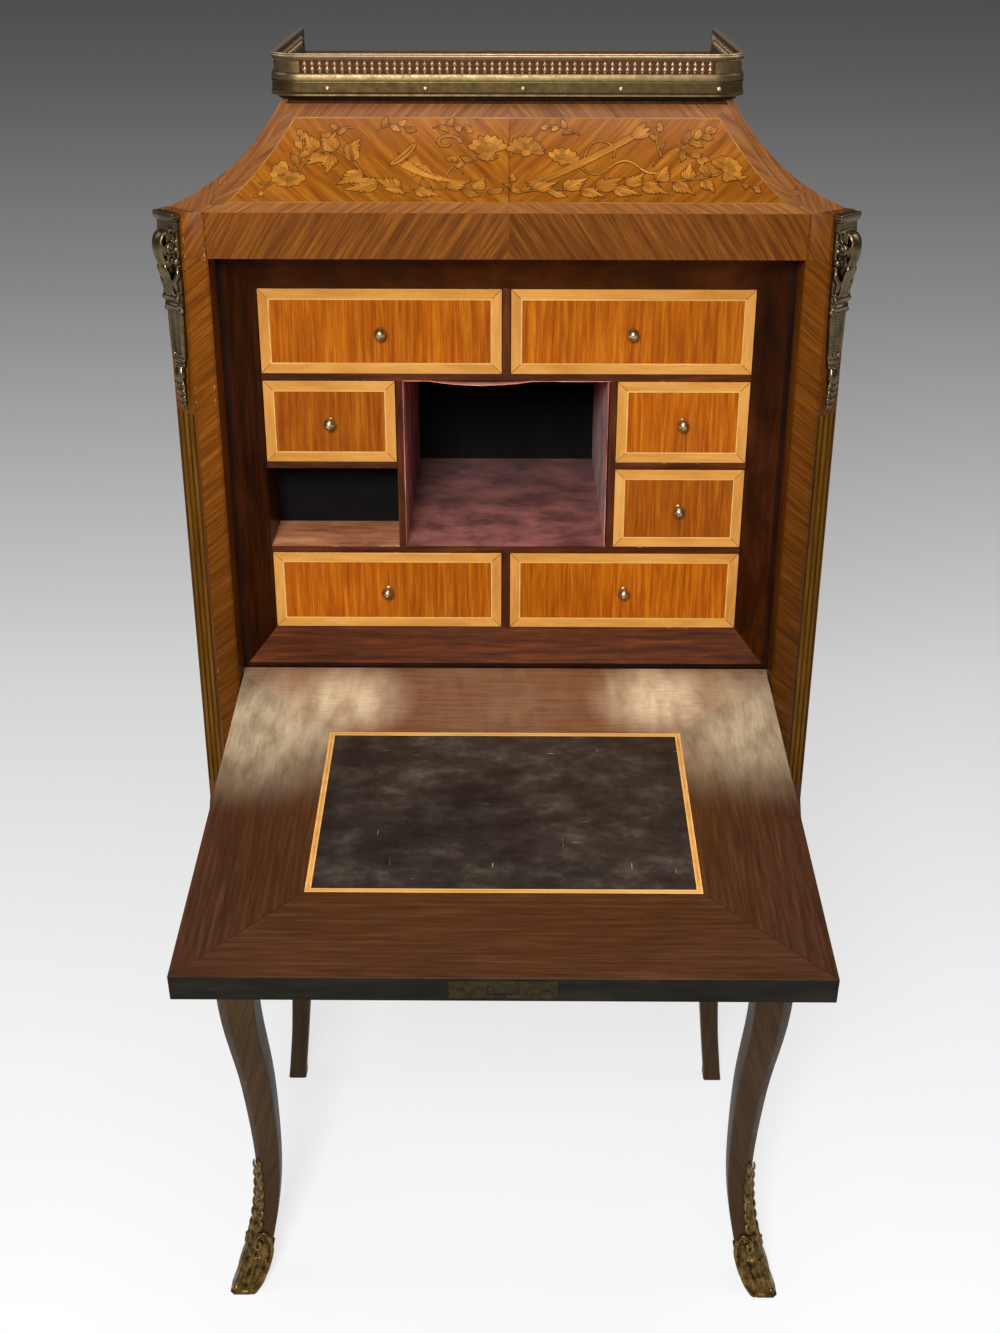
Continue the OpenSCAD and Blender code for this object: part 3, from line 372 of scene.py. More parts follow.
def veneer(name, dark, middle, pale, streaks=70, contrast=0.16, fibre=0.3, pores=0.5,
           roughness=0.36, coat=0.03, gloss=0.12, chip=(206, 176, 130), wavy=0.004,
           darker=None):
    """A polished veneer that runs along its leaf's grain: broad streaks, fine fibres, open
    pores, blotches of old polish and pale chips on the arris. It can carry painted shade that
    darkens it downwards, between two heights, to a share of its colour."""
    finish, tree, surface = new_finish(name)
    leaf = add(tree, "UVMap", {"uv_map": "grain"}).outputs["UV"]
    drift = add(tree, "TexNoise", Vector=leaf, Scale=9.0, Detail=2.0)
    leaf = add(tree, "VectorMath", {"operation": "MULTIPLY_ADD"}, drift.outputs["Color"],
               (0.0, wavy, 0.0), leaf).outputs["Vector"]
    broad = cloudy(tree, leaf, (12.0, streaks, 1.0), 6.0, 0.66)
    fine = cloudy(tree, leaf, (25.0, 900.0, 1.0), 2.0)
    pore = cloudy(tree, leaf, (90.0, 2600.0, 1.0), 1.0)
    blotch = cloudy(tree, leaf, (7.0, 13.0, 1.0), 3.0)
    colour = graded(tree, broad, (0.5 - contrast, tint(*dark)), (0.5, tint(*middle)),
                    (0.5 + contrast, tint(*pale)))
    light = add(tree, "Attribute", {"attribute_name": "tone"}).outputs["Fac"]
    holes = span(tree, pore, 0.62, 0.74, 1.0, 1 - pores)
    level = product(tree, span(tree, fine, 0.25, 0.75, 1 - fibre, 1 + fibre),
                    span(tree, blotch, 0.2, 0.8, 0.86, 1.14), holes,
                    reckon(tree, "ADD", light, 1.0))
    where = own_place(tree)
    # Painted shade: darker below a given height
    if darker:
        height = add(tree, "SeparateXYZ", Vector=where).outputs["Z"]
        level = product(tree, level, span(tree, height, *darker))
    nicks = product(tree, span(tree, cloudy(tree, where, (210.0,) * 3), 0.56, 0.62),
                    add(tree, "Attribute", {"attribute_name": "wear"}).outputs["Fac"],
                    span(tree, cloudy(tree, where, (17.0,) * 3, 2.0), 0.6, 0.7))
    grain = reckon(tree, "ADD", product(tree, fine, 0.4), holes)
    plug(tree, surface, Specular_IOR_Level=gloss, Coat_Weight=coat, Coat_Roughness=0.16,
         Base_Color=mixed(tree, nicks, toned(tree, colour, level), tint(*chip)),
         Roughness=span(tree, blotch, 0.3, 0.7, roughness - 0.07, roughness + 0.07),
         Normal=relief(tree, grain, 0.12, 0.0004))
    return finish


hands = ((-1, "left"), (1, "right"))
rail_low, rail_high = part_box("top_rail")
case_front, case_top, open_half, open_top = rail_low[1], rail_high[2], rail_high[0], rail_low[2]
post_w, cant = 0.040, 0.0215
# The two matched leaves over the opening: their numbers, and how much paler they are
matched = ((1, -0.04), (7, -0.14))
post_half = open_half + post_w
kingwood = veneer("kingwood", (66, 32, 5), (112, 61, 12), (146, 86, 24), streaks=230,
                  contrast=0.22, fibre=0.34, pores=0.34)
# The posts' kingwood carries painted shade, darker towards the bottom from 1.02 m down to 0.78 m
post_wood = veneer("kingwood of the posts", (72, 34, 5), (112, 61, 12), (142, 84, 20), streaks=260,
                   contrast=0.24, fibre=0.36, pores=0.35, coat=0.0, gloss=0.05,
                   chip=(176, 140, 92), darker=(0.78, 1.02, 0.6, 1.0))
# The legs' kingwood is darker and greyer than the posts': partly its own colour, partly painted shade
# of the open fall
leg_wood_and_shade = veneer("kingwood of the legs", (42, 27, 14), (69, 49, 28), (88, 65, 40), streaks=120,
                  contrast=0.32, fibre=0.22, pores=0.35, roughness=0.5, chip=(140, 112, 76))
pale_string = veneer("pale string", (92, 58, 12), (110, 72, 18), (126, 86, 26), fibre=0.1,
                     pores=0.15, roughness=0.7, coat=0.0, gloss=0.02)
dark_string = veneer("dark string", (58, 32, 6), (74, 44, 10), (88, 54, 14), fibre=0.12,
                     pores=0.2, roughness=0.7, coat=0.0, gloss=0.02)
leg_top, fluting_low, fluting_high = 0.612, 0.632, 0.998
fluting = (0.0012, 0.0042, 0.0082, 0.0112, 0.0158, 0.0188, 0.0232, 0.0262)
leg_joints, joint_slant = (0.452, 0.188), 0.35


def is_cant(normal):
    return abs(normal.z) < mostly and normal.y < -mostly and abs(normal.x) > mostly


for side, word in hands:
    post = open_board("front_post_" + word)
    ease(post, width=0.0005, flush=open_half)
    corner = Vector((side * post_half, case_front + cant, 0))
    along_cant = Vector((-side, -1, 0)).normalized()
    for width in fluting:
        cut(post, corner + along_cant * width, along_cant,
            lambda f: is_cant(f.normal) and middle_of(f).z > leg_top)
    cut_at(post, "z", (fluting_low, fluting_high), lambda f: is_cant(f.normal))
    cut_at(post, "z", (open_top,), lambda f: f.normal.y < -square_on)
    for height in leg_joints:
        cut(post, (side * post_half, 0, height), (side * joint_slant, 0, 1),
            lambda f: f.normal.y < -0.4 and middle_of(f).z < leg_top)

    def post_leaf(centre, normal, side=side, corner=corner, along_cant=along_cant):
        plane, left = facing(normal), side < 0
        if is_cant(normal) and fluting_low < centre.z < fluting_high:
            width = (centre - corner).dot(along_cant)
            stripe = sum(width > edge for edge in fluting)
            if 0 < stripe < len(fluting):
                return on_front, 90, stripe, 0.0, 2 if stripe % 2 else 1
        if centre.z > open_top and plane is on_front:
            return plane, -side * 56, *matched[side > 0], 0
        if centre.z > leg_top:
            return plane, -side * 38 if plane is on_front else 90, 3 + side, 0.1 if left else -0.2, 3
        if plane is on_front:
            section = sum(centre.z > joint for joint in leg_joints)
            return plane, -side * (62, 74, 58)[section], 5 + section, (-0.1, 0.06, 0.0)[section], 4
        return plane, 86, 8, -0.1, 4

    lay(post, post_leaf)
    fit(post, "veneered_post_" + word, "case", "kingwood",
        (kingwood, pale_string, dark_string, post_wood, leg_wood_and_shade), "front_post_" + word)
    clad("rear_post_" + word, "veneered_rear_post_" + word, "case", "kingwood",
         (kingwood, leg_wood_and_shade), lambda centre, normal: (
             facing(normal), 88, 11, *((-0.2, 0) if centre.z > leg_top else (0.0, 1))),
         rounding=0.0005)

# Side panels, back and bottom
# Side panels in kingwood, a field of two matched leaves in a cross-banded border with a pale
# string. The back and the bottom are plain oak boards that nobody was meant to see.
oak = veneer("plain oak", (92, 62, 34), (128, 92, 54), (150, 112, 70), streaks=110, contrast=0.2,
             fibre=0.3, pores=0.45, roughness=0.6, coat=0.0)
border, string_w, arch_rise = 0.026, 0.0013, 0.034
for side, word in hands:
    low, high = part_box("side_panel_" + word)
    panel = open_board("side_panel_" + word)
    ease(panel, width=0.0004)
    field = (low[1] + border, high[1] - border, low[2] + border + arch_rise, high[2] - border)
    middle = (low[1] + high[1]) / 2

    def outer(face, side=side):
        return face.normal.x * side > square_on

    cut_at(panel, "y", (field[0], field[0] - string_w, field[1], field[1] + string_w, middle), outer)
    cut_at(panel, "z", (field[2], field[2] - string_w, field[3], field[3] + string_w), outer)

    def panel_leaf(centre, normal, side=side, field=field, middle=middle):
        if normal.x * side < square_on:
            return facing(normal), 0, 21, -0.2, 0
        outside = max(field[0] - centre.y, centre.y - field[1], field[2] - centre.z,
                      centre.z - field[3])
        if outside < 0:
            left = centre.y < middle
            return on_side, 62 if left else 118, 14 if left else 16, -0.06, 0
        if outside < string_w:
            return on_side, 0, 1, 0.2, 1
        level = max(field[2] - centre.z, centre.z - field[3]) >= outside
        return on_side, 90 if level else 0, 18, -0.22, 0

    lay(panel, panel_leaf)
    fit(panel, "veneered_side_" + word, "case", "kingwood", (kingwood, pale_string),
        "side_panel_" + word)

back = open_board("back_panel")
plank_edges, plank_tones, seam_w = (-0.142, 0.0, 0.142), (-0.1, 0.0, -0.05, 0.04), 0.0006
for edge in plank_edges:
    cut_at(back, "x", (edge - seam_w, edge + seam_w), lambda f: f.normal.y > square_on)


def plank_leaf(centre, normal):
    plank = sum(centre.x > edge for edge in plank_edges)
    seam = min(abs(centre.x - edge) for edge in plank_edges) < seam_w
    return facing(normal), 90, 23 + plank, -0.75 if seam else plank_tones[plank], 0


def one_leaf(degrees, leaf, paler=0.0):
    """The rule for a plain board."""
    return lambda centre, normal: (facing(normal), degrees, leaf, paler, 0)


lay(back, plank_leaf)
fit(back, "oak_back", "case", "carcass_oak", (oak,), "back_panel")
clad("case_bottom", "oak_bottom", "case", "carcass_oak", (oak,), one_leaf(0, 29, -0.1))

# Rails
# The rail over the opening and the sill with its shaped apron, in beech veneered with kingwood
# whose grain rises from both sides and meets in the middle.
rail_seam = 0.002
for node, slant in (("top_rail", 56), ("bottom_rail", 64)):
    rail = open_board(node)
    ease(rail, width=0.0006, flush=open_half)
    cut_at(rail, "x", (rail_seam,), lambda f: f.normal.y < -square_on)

    def rail_leaf(centre, normal, slant=slant):
        if facing(normal) is not on_front:
            return facing(normal), 0, 31, -0.3, 0
        right = centre.x >= rail_seam
        return on_front, -slant if right else slant, *matched[right], 0

    lay(rail, rail_leaf)
    fit(rail, "veneered_" + node, "case", "kingwood", (kingwood,), node)

# Splayed frame round the nest
# Four thin boards of dark rosewood, mitred at the corners, that lead the eye from the opening
# to the smaller nest of drawers.
rosewood = veneer("rosewood", (28, 12, 4), (74, 34, 10), (114, 56, 20), streaks=95, contrast=0.24,
                  fibre=0.35, pores=0.45)
clad("surround_stiles", "surround_stile_boards", "case", "rosewood", (rosewood,),
     lambda centre, normal: (
         (lambda spot: (spot.z, spot.y + spot.x)), 0, 33 if centre.x < 0 else 34,
         -0.8 if normal.y < -square_on else -0.58 if centre.x < 0 else -0.48, 0))
# The lower splayed board is painted paler and the upper one darker: painted light below, painted shade
# under the top rail
clad("surround_rails", "surround_rail_boards", "case", "rosewood", (rosewood,),
     lambda centre, normal: (
         (lambda spot: (spot.x, spot.y + spot.z)), 0, 35,
         -0.8 if normal.y < -square_on else 0.15 if centre.z < 0.9 else -0.2, 0))

# Nest
# Shelves and uprights of rosewood-faced pine, housed into one another, on a black-stained
# back. The open pigeonhole has a bare, browner floor, and a black board halfway in stands for
# the shade deep inside it.
stained = veneer("stained pine", (144, 86, 56), (199, 127, 88), (224, 160, 118), streaks=40,
                 fibre=0.2, pores=0.25, roughness=0.6, coat=0.0)
shelves = open_board("nest_shelves")
ease(shelves, width=0.0003)
floor_low, floor_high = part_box("velvet_floor")
upright_t = 0.006
hole_low, hole_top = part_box("bottom_left_front")[0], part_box("upper_left_front")[0][2]
bare_low, bare_high = 0.84, 0.93


def shelf_leaf(centre, normal):
    if centre.x < -floor_high[0] and bare_low < centre.z < bare_high and normal.z > square_on:
        return on_top, 0, 37, -0.08, 1
    return facing(normal), 0, 36, 0.0 if normal.y < -mostly else -0.3, 0


def add_block(shape, low, high, taper=1.0):
    """Adds a block between two corners, its lower end narrowed by a share."""
    low, high = Vector(low), Vector(high)
    for point in bmesh.ops.create_cube(shape, size=1.0)["verts"]:
        share = taper if point.co.z < 0 else 1.0
        point.co = (low + high) / 2 + Vector((
            point.co.x * share * (high.x - low.x), point.co.y * (high.y - low.y),
            point.co.z * (high.z - low.z)))


cut_at(shelves, "x", (-floor_high[0] - upright_t,), lambda f: f.normal.z > square_on)
lay(shelves, shelf_leaf)
fit(shelves, "nest_shelf_boards", "case", "rosewood", (rosewood, stained), "nest_shelves")
clad("nest_uprights", "nest_upright_boards", "case", "rosewood", (rosewood,),
     lambda centre, normal: (facing(normal), 90, 38 + round(centre.x * 20),
                             0.05 if normal.y < -mostly else -0.25, 0), rounding=0.0003)
black_wood = veneer("ebonised back", (6, 5, 5), (10, 8, 8), (16, 12, 11), fibre=0.2, pores=0.3,
                    roughness=0.75, coat=0.0)
clad("nest_back", "nest_back_board", "case", "ebonised_wood", (black_wood,), one_leaf(90, 41))
# A black board halfway into the pigeonhole: painted shade, standing for the dark deep inside it
shade_board_depth, board_t, into_wall = 0.138, 0.006, 0.002
pigeonhole_shade_board = bmesh.new()
add_block(pigeonhole_shade_board, (hole_low[0] - into_wall, shade_board_depth, floor_low[2]),
          (-floor_high[0] - upright_t - 0.001, shade_board_depth + board_t, hole_top))
lay(pigeonhole_shade_board, one_leaf(0, 42))
fit(pigeonhole_shade_board, "pigeonhole_painted_shade", "case", "ebonised_wood", (black_wood,))

# Drawers
# Seven drawers: oak boxes with fronts in tulipwood whose grain stands upright, a pale string,
# a mitred satinwood band, and a turned brass knob on a small rose.
tulipwood = veneer("tulipwood", (140, 62, 2), (176, 90, 6), (206, 122, 22), streaks=210,
                   contrast=0.2, fibre=0.26, pores=0.34, roughness=0.3, wavy=0.002)
satinwood = veneer("satinwood", (188, 122, 48), (212, 148, 68), (226, 168, 92), streaks=60,
                   contrast=0.25, fibre=0.1, pores=0.12, roughness=0.3)
boxwood = veneer("boxwood string", (212, 156, 82), (226, 172, 96), (238, 188, 114), fibre=0.06,
                 pores=0.05)
joint_wood = veneer("joint line", (122, 72, 26), (140, 86, 34), (156, 100, 42), fibre=0.1,
                    pores=0.1)
drawer_oak = veneer("drawer oak", (138, 98, 58), (172, 130, 84), (196, 156, 108), streaks=90,
                    fibre=0.25, pores=0.4, roughness=0.65, coat=0.0)
band_w, bead_w, mitre_w = 0.0085, 0.0011, 0.00045
drawer_tones = {"top_left": 0.0, "top_right": -0.02, "upper_left": -0.27, "upper_right": 0.0,
                "lower_right": -0.26, "bottom_left": -0.08, "bottom_right": -0.06}


def turned(profile, at, axis=(0, -1, 0), steps=20):
    """A turned shape: radius and height pairs spun round an axis through a place."""
    shape = bmesh.new()
    points = [shape.verts.new((radius, 0, height)) for radius, height in profile]
    line = [shape.edges.new(pair) for pair in zip(points, points[1:])]
    bmesh.ops.spin(shape, geom=points + line, cent=(0, 0, 0), axis=(0, 0, 1), angle=2 * pi,
                   steps=steps, use_merge=True)
    bmesh.ops.remove_doubles(shape, verts=shape.verts, dist=weld_gap)
    bmesh.ops.recalc_face_normals(shape, faces=shape.faces)
    stand = Vector((0, 0, 1)).rotation_difference(Vector(axis)).to_matrix().to_4x4()
    bmesh.ops.transform(shape, matrix=Matrix.Translation(at) @ stand, verts=shape.verts)
    return shape


def metal(name, bright, dull, roughness=0.3, grime=0.5, scale=260.0):
    """Old brass or bronze: bright where it is rubbed, dull and brown in its hollows."""
    finish, tree, surface = new_finish(name)
    where = own_place(tree)
    patches = cloudy(tree, where, (scale,) * 3, 4.0, 0.65)
    spots = cloudy(tree, where, (scale * 5,) * 3, 2.0)
    height = span(tree, add(tree, "NewGeometry").outputs["Pointiness"], 0.46, 0.54)
    hollow = product(tree, reckon(tree, "SUBTRACT", 1.0, height), grime * 0.8)
    dirt = reckon(tree, "ADD", span(tree, patches, 0.35, 0.7, 0.0, grime), hollow)
    shine = span(tree, spots, 0.3, 0.7, roughness - 0.05, roughness + 0.12)
    plug(tree, surface, Metallic=1.0, Normal=relief(tree, spots, 0.15, 0.0003),
         Base_Color=mixed(tree, dirt, tint(*bright), tint(*dull)),
         Roughness=reckon(tree, "ADD", shine, product(tree, dirt, 0.15)))
    return finish


def shows(face):
    return face.normal.y < -square_on


knob_brass = metal("knob brass", (206, 186, 142), (104, 84, 52), 0.24, 0.45, 300.0)
for name, tone_of_field in drawer_tones.items():
    low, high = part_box(name + "_front")
    front = open_board(name + "_front")
    ease(front, width=0.0004)
    for inner in (band_w, band_w + bead_w):
        cut_at(front, "x", (low[0] + inner, high[0] - inner), shows)
        cut_at(front, "z", (low[2] + inner, high[2] - inner), shows)
    for x, across in ((low[0], 1), (high[0], -1)):
        for z, up in ((low[2], 1), (high[2], -1)):
            for lip in (-mitre_w, mitre_w):
                cut(front, (x + lip, 0, z), (up, 0, -across), lambda f, x=x, z=z: shows(f)
                    and abs(middle_of(f).x - x) < band_w
                    and abs(middle_of(f).z - z) < band_w)

    def front_leaf(centre, normal, low=low, high=high, shade=tone_of_field, leaf=len(name)):
        if normal.y > -0.6:
            return facing(normal), 90, 43, -0.2, 0
        to_side = min(centre.x - low[0], high[0] - centre.x)
        to_level = min(centre.z - low[2], high[2] - centre.z)
        inside = min(to_side, to_level)
        if inside > band_w + bead_w:
            return on_front, 90, leaf + round(low[0] * 30), shade, 0
        if inside > band_w:
            return on_front, 0, 1, 0.0, 2
        if abs(to_side - to_level) < mitre_w * 0.9 and inside > 0.0006:
            return on_front, 0, 1, 0.0, 3
        return on_front, 90 if to_side < to_level else 0, 45 + leaf, 0.0, 1

    lay(front, front_leaf)
    fit(front, name + "_banded_front", name + "_drawer", "tulipwood",
        (tulipwood, satinwood, boxwood, joint_wood), name + "_front")
    clad(name + "_box", name + "_oak_box", name + "_drawer", "drawer_oak", (drawer_oak,),
         one_leaf(0, 47, -0.05), rounding=0.0005)
    low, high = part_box(name + "_knob")
    centre = ((low[0] + high[0]) / 2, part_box(name + "_front")[0][1], (low[2] + high[2]) / 2)
    shank, shank_deep, rose, neck, ball_r, middle = 0.0018, 0.007, 0.0041, 0.0024, 0.0055, 0.0085
    profile = [(0, -shank_deep), (shank, -shank_deep), (shank, 0), (rose, 0),
               (rose + 0.0002, 0.0005), (rose - 0.0002, 0.0011), (neck + 0.0005, 0.0014),
               (neck, 0.0022), (neck, 0.0034)]
    profile += [(ball_r * cos(radians(a)), middle + ball_r * sin(radians(a)))
                for a in range(-60, 90, 12)] + [(0, middle + ball_r)]
    fit(turned(profile, centre, steps=28), name + "_turned_knob", name + "_drawer",
        "knob_brass", (knob_brass,), name + "_knob", sharp=50)

# Velvet lining of the niche
# Worn mauve velvet glued to the floor and walls of the niche. The ceiling's piece, faded to
# pink, has come loose: it sags in the middle and its front edge is frayed.


def velvet(name, deep, worn, shade_from, shade_to):
    """Worn pile: paler where it is rubbed, and painted shade darkens it towards the back of the niche.
    """
    finish, tree, surface = new_finish(name)
    where = own_place(tree)
    pile = cloudy(tree, where, (1500.0,) * 3, 2.0)
    rubbed = reckon(tree, "ADD", cloudy(tree, where, (26.0, 34.0, 26.0), 5.0, 0.62),
                    product(tree, pile, 0.12))
    colour = mixed(tree, span(tree, rubbed, 0.42, 0.72), tint(*deep), tint(*worn))
    # Painted shade: the colour falls to 0.35 of itself towards the back of the niche
    depth = add(tree, "SeparateXYZ", Vector=where).outputs["Y"]
    plug(tree, surface, Roughness=0.92, Specular_IOR_Level=0.08, Sheen_Weight=0.1,
         Sheen_Roughness=0.45, Normal=relief(tree, pile, 0.5, 0.0006),
         Base_Color=toned(tree, colour, span(tree, depth, shade_from, shade_to, 1.0, 0.35)))
    return finish


mauve = velvet("mauve velvet", (98, 42, 38), (172, 99, 90), 0.15, 0.36)
# The walls' copy of the velvet is painted paler than the floor's: painted light
wall_mauve_painted_lit = velvet("mauve velvet of the walls", (128, 60, 54), (216, 130, 120), 0.15, 0.5)
faded_pink = velvet("faded lining", (226, 104, 80), (250, 168, 134), 0.19, 0.42)
wall_low, wall_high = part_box("velvet_walls")
cloth_w, cloth_l = floor_high[0] - floor_low[0], floor_high[1] - floor_low[1]


def cloth(width, length, across, along, thickness, shape_of):
    """A sheet of cloth from a flat grid. A rule says where each of its points goes."""
    sheet = bmesh.new()
    bmesh.ops.create_grid(sheet, x_segments=across, y_segments=along, size=0.5)
    for point in sheet.verts:
        point.co = shape_of((point.co.x + 0.5) * width, (point.co.y + 0.5) * length)
    bmesh.ops.recalc_face_normals(sheet, faces=sheet.faces)
    bmesh.ops.solidify(sheet, geom=sheet.faces[:], thickness=thickness)
    bmesh.ops.recalc_face_normals(sheet, faces=sheet.faces)
    return sheet


def ripple(x, y, scale=45.0, height=0.0004):
    return noise.noise(Vector((x, y, 0.3)) * scale) * height


nap = 0.0009
floor_cloth = cloth(cloth_w, cloth_l, 46, 60, nap, lambda u, v: Vector((
    floor_low[0] + u, floor_low[1] + v, floor_low[2] + nap + abs(ripple(u, v)) * 0.6)))
floor_piece = fit(floor_cloth, "niche_floor_velvet", "case", "mauve_velvet", (mauve,),
                  "velvet_floor", sharp=60)
wall_h = wall_high[2] - wall_low[2]
for side, word in hands:
    wall = cloth(wall_h, cloth_l, 34, 60, nap, lambda u, v, side=side: Vector((
        side * (wall_high[0] - nap - abs(ripple(u, v + side)) * 0.6), wall_low[1] + v,
        wall_low[2] + u)))
    wall_piece = fit(wall, "niche_" + word + "_velvet", "case", "mauve_velvet", (wall_mauve_painted_lit,),
                     "velvet_walls", sharp=60)
ceiling_low, ceiling_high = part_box("velvet_ceiling")
sag, sag_middle, sag_half, sag_less = 0.0038, -0.023, 0.046, 0.3
fray_fine, fray_out, lining_gap, crease_fine = 160, 0.0009, 0.0009, 60.0


def ceiling_place(u, v):
    x = ceiling_low[0] + u
    hang = max(0.0, 1 - ((x - sag_middle) / sag_half) ** 2) * sag * (1 - sag_less * v / cloth_l)
    fray = noise.noise(Vector((x * fray_fine, 0.7, 0))) * fray_out if v < 0.001 else 0.0
    drop = hang + abs(ripple(u, v, crease_fine)) + lining_gap
    return Vector((x, ceiling_low[1] + v + fray, ceiling_high[2] - drop))


ceiling_piece = fit(cloth(cloth_w, cloth_l, 92, 40, -nap * 0.8, ceiling_place),
                    "niche_ceiling_lining", "case", "pink_lining", (faded_pink,),
                    "velvet_ceiling", sharp=60)

# Fall
# The writing flap: mitred rosewood boards round a black leather, with a string of satinwood
# between two of boxwood, and two matched leaves of kingwood outside. Its free edge is stained
# black and carries the lock. Pale patches of painted highlight lie on the polish at its rear
# corners, where its rear board is also painted paler.
fall_axis, droop = Vector((0, case_front + 0.019, 0.727061)), radians(6.5)
open_fall = Matrix.Translation(fall_axis) @ Matrix.Rotation(droop, 4, "X")
leather_half, leather_near, leather_back = 0.149, -0.30194, -0.09494
string_steps = (0.0, 0.0013, 0.0035, 0.0048)
fall_half, fall_near, tail_y = 0.243, -0.40194, 0.004
bed_z, sheen_z, sheen_tone = 0.0158, 0.735, (240, 216, 176)
fall_wood = veneer("fall rosewood", (40, 21, 10), (68, 38, 19), (92, 56, 31), streaks=260,
                   contrast=0.3, fibre=0.34, pores=0.5, roughness=0.3, coat=0.4,
                   gloss=0.4, wavy=0.001)
tree = fall_wood.node_tree
surface = tree.nodes["Principled BSDF"]
bare_colour = surface.inputs["Base Color"].links[0].from_socket
where = own_place(tree)
painted_sheen = 0.0
# Painted highlight: soft pale patches on the polish at the fall's rear corners, and a faint one in the
# middle
for x, y, reach, share in ((-0.145, -0.012, 0.085, 0.95), (-0.214, -0.05, 0.15, 0.66),
                           (0.14, -0.008, 0.09, 1.0), (0.214, -0.045, 0.15, 0.62),
                           (0.0, 0.0, 0.16, 0.12)):
    gap = add(tree, "VectorMath", {"operation": "DISTANCE"}, where, (x, y, sheen_z))
    painted_sheen = reckon(tree, "MAXIMUM", painted_sheen, span(tree, gap.outputs["Value"], 0.0, reach, share, 0.0,
                                              "SMOOTHERSTEP"))
leaf = add(tree, "UVMap", {"uv_map": "grain"}).outputs["UV"]
sheen_smears = span(tree, cloudy(tree, where, (70.0, 22.0, 22.0), 3.0, 0.5), 0.3, 0.62, 0.5, 1.0)
sheen_patches = span(tree, cloudy(tree, leaf, (60.0, 420.0, 1.0), 4.0, 0.7), 0.3, 0.7, 0.72, 1.1)
plug(tree, surface, Base_Color=mixed(tree, product(tree, painted_sheen, sheen_patches, sheen_smears), bare_colour,
                                     tint(*sheen_tone)))
black_edge = veneer("ebonised edge", (14, 13, 8), (25, 22, 15), (38, 34, 22), streaks=60,
                    fibre=0.3, pores=0.4, roughness=0.55, coat=0.0, gloss=0.1, chip=(130, 108, 74))
panel = open_board("fall_panel")
bmesh.ops.transform(panel, matrix=open_fall.inverted(), verts=panel.verts)
ease(panel, width=0.0007)


def writes(face):
    """The upper face, outside the bed of the leather."""
    return face.normal.z > square_on and middle_of(face).z > bed_z


def near_leather(face):
    spot = middle_of(face)
    return writes(face) and abs(spot.x) < leather_half + string_w and (
        leather_near - string_w < spot.y < leather_back + string_w)


string_w, mitre_w = string_steps[-1], 0.0003
for step, only in zip(reversed(string_steps), (writes,) + (near_leather,) * 3):
    cut_at(panel, "x", (-leather_half - step, leather_half + step), only)
    cut_at(panel, "y", (leather_near - step, leather_back + step), only)
cut_at(panel, "x", (0,), lambda f: f.normal.z < -square_on)
string_x, string_near, string_back = (leather_half + string_w, leather_near - string_w,
                                      leather_back + string_w)
fall_mitres = []
for side in (-1, 1):
    for inner_y, outer_y in ((string_near, fall_near), (string_back, tail_y)):
        start = Vector((side * string_x, inner_y, 0))
        run = Vector((side * fall_half, outer_y, 0)) - start
        across = Vector((-run.y, run.x, 0)).normalized()
        fall_mitres.append((start, across, run.y > 0, side))
        for lip in (-mitre_w, mitre_w):
            cut(panel, start + across * lip, across, lambda f, s=start, up=run.y > 0, side=side:
                writes(f) and (middle_of(f).x - s.x) * side > -1e-5
                and ((middle_of(f).y - s.y) > -1e-5) == up)


def fall_leaf(centre, normal):
    """Black edge, matched leaves outside, bed, strings, mitres, and the four boards."""
    side = -1 if centre.x < 0 else 1
    if normal.y < -mostly and centre.y < fall_near + 0.004:
        return on_front, 0, 52, 0.0, 1
    if normal.z < -mostly:
        return on_top, 90 + 38 * side, 53 + side, -0.1, 4
    if normal.z < mostly or centre.z < bed_z:
        return facing(normal), 0, 53, -0.2, 0
    outside = max(abs(centre.x) - leather_half, leather_near - centre.y, centre.y - leather_back)
    if outside < string_w:
        return on_top, 0, 1, 0.0, 3 if string_steps[1] < outside < string_steps[2] else 2
    for start, across, up, side in fall_mitres:
        ahead = ((centre.y - start.y) > 0) == up and (centre.x - start.x) * side > 0
        if ahead and abs((centre - start).dot(across)) < mitre_w:
            return on_top, 0, 2, -0.55, 0
    share = (abs(centre.x) - string_x) / (fall_half - string_x)
    # The rear board is painted much paler: part of the painted highlight
    if centre.y > max(string_back, string_back + share * (tail_y - string_back)):
        return on_top, 0, 54, 1.6, 0
    if centre.y < min(string_near, string_near + share * (fall_near - string_near)):
        return on_top, 0, 55, 0.2, 0
    return on_top, 90, 58, 0.05, 0


lay(panel, fall_leaf)
bmesh.ops.transform(panel, matrix=open_fall, verts=panel.verts)
fit(panel, "veneered_fall", "fall", "fall_rosewood",
    (fall_wood, black_edge, boxwood, satinwood, kingwood), "fall_panel")

leather, tree, surface = new_finish("black leather")
where = own_place(tree)
mottle = cloudy(tree, where, (30.0, 44.0, 44.0), 6.0, 0.7)
hide = add(tree, "TexVoronoi", {"feature": "DISTANCE_TO_EDGE"}, Vector=where, Scale=900.0)
colour = graded(tree, mottle, (0.34, tint(22, 18, 15)), (0.5, tint(36, 31, 26)),
                (0.64, tint(58, 51, 42)), (0.8, tint(92, 82, 68)))
colour = toned(tree, colour, span(tree, cloudy(tree, where, (9.0, 7.0, 7.0), 2.0), 0.36, 0.64,
                                  0.5, 1.75))
scratch_tone, scratch_share, scratch_soft = tint(166, 154, 132), 0.7, 0.03
for stretch, least in (((420.0, 30.0, 30.0), 0.72), ((36.0, 420.0, 420.0), 0.72),
                       ((520.0, 520.0, 520.0), 0.75)):
    scratch = span(tree, cloudy(tree, where, stretch, 4.0), least, least + scratch_soft, 0.0,
                   scratch_share)
    colour = mixed(tree, scratch, colour, scratch_tone)
pores = span(tree, hide.outputs["Distance"], 0.0, 0.12)
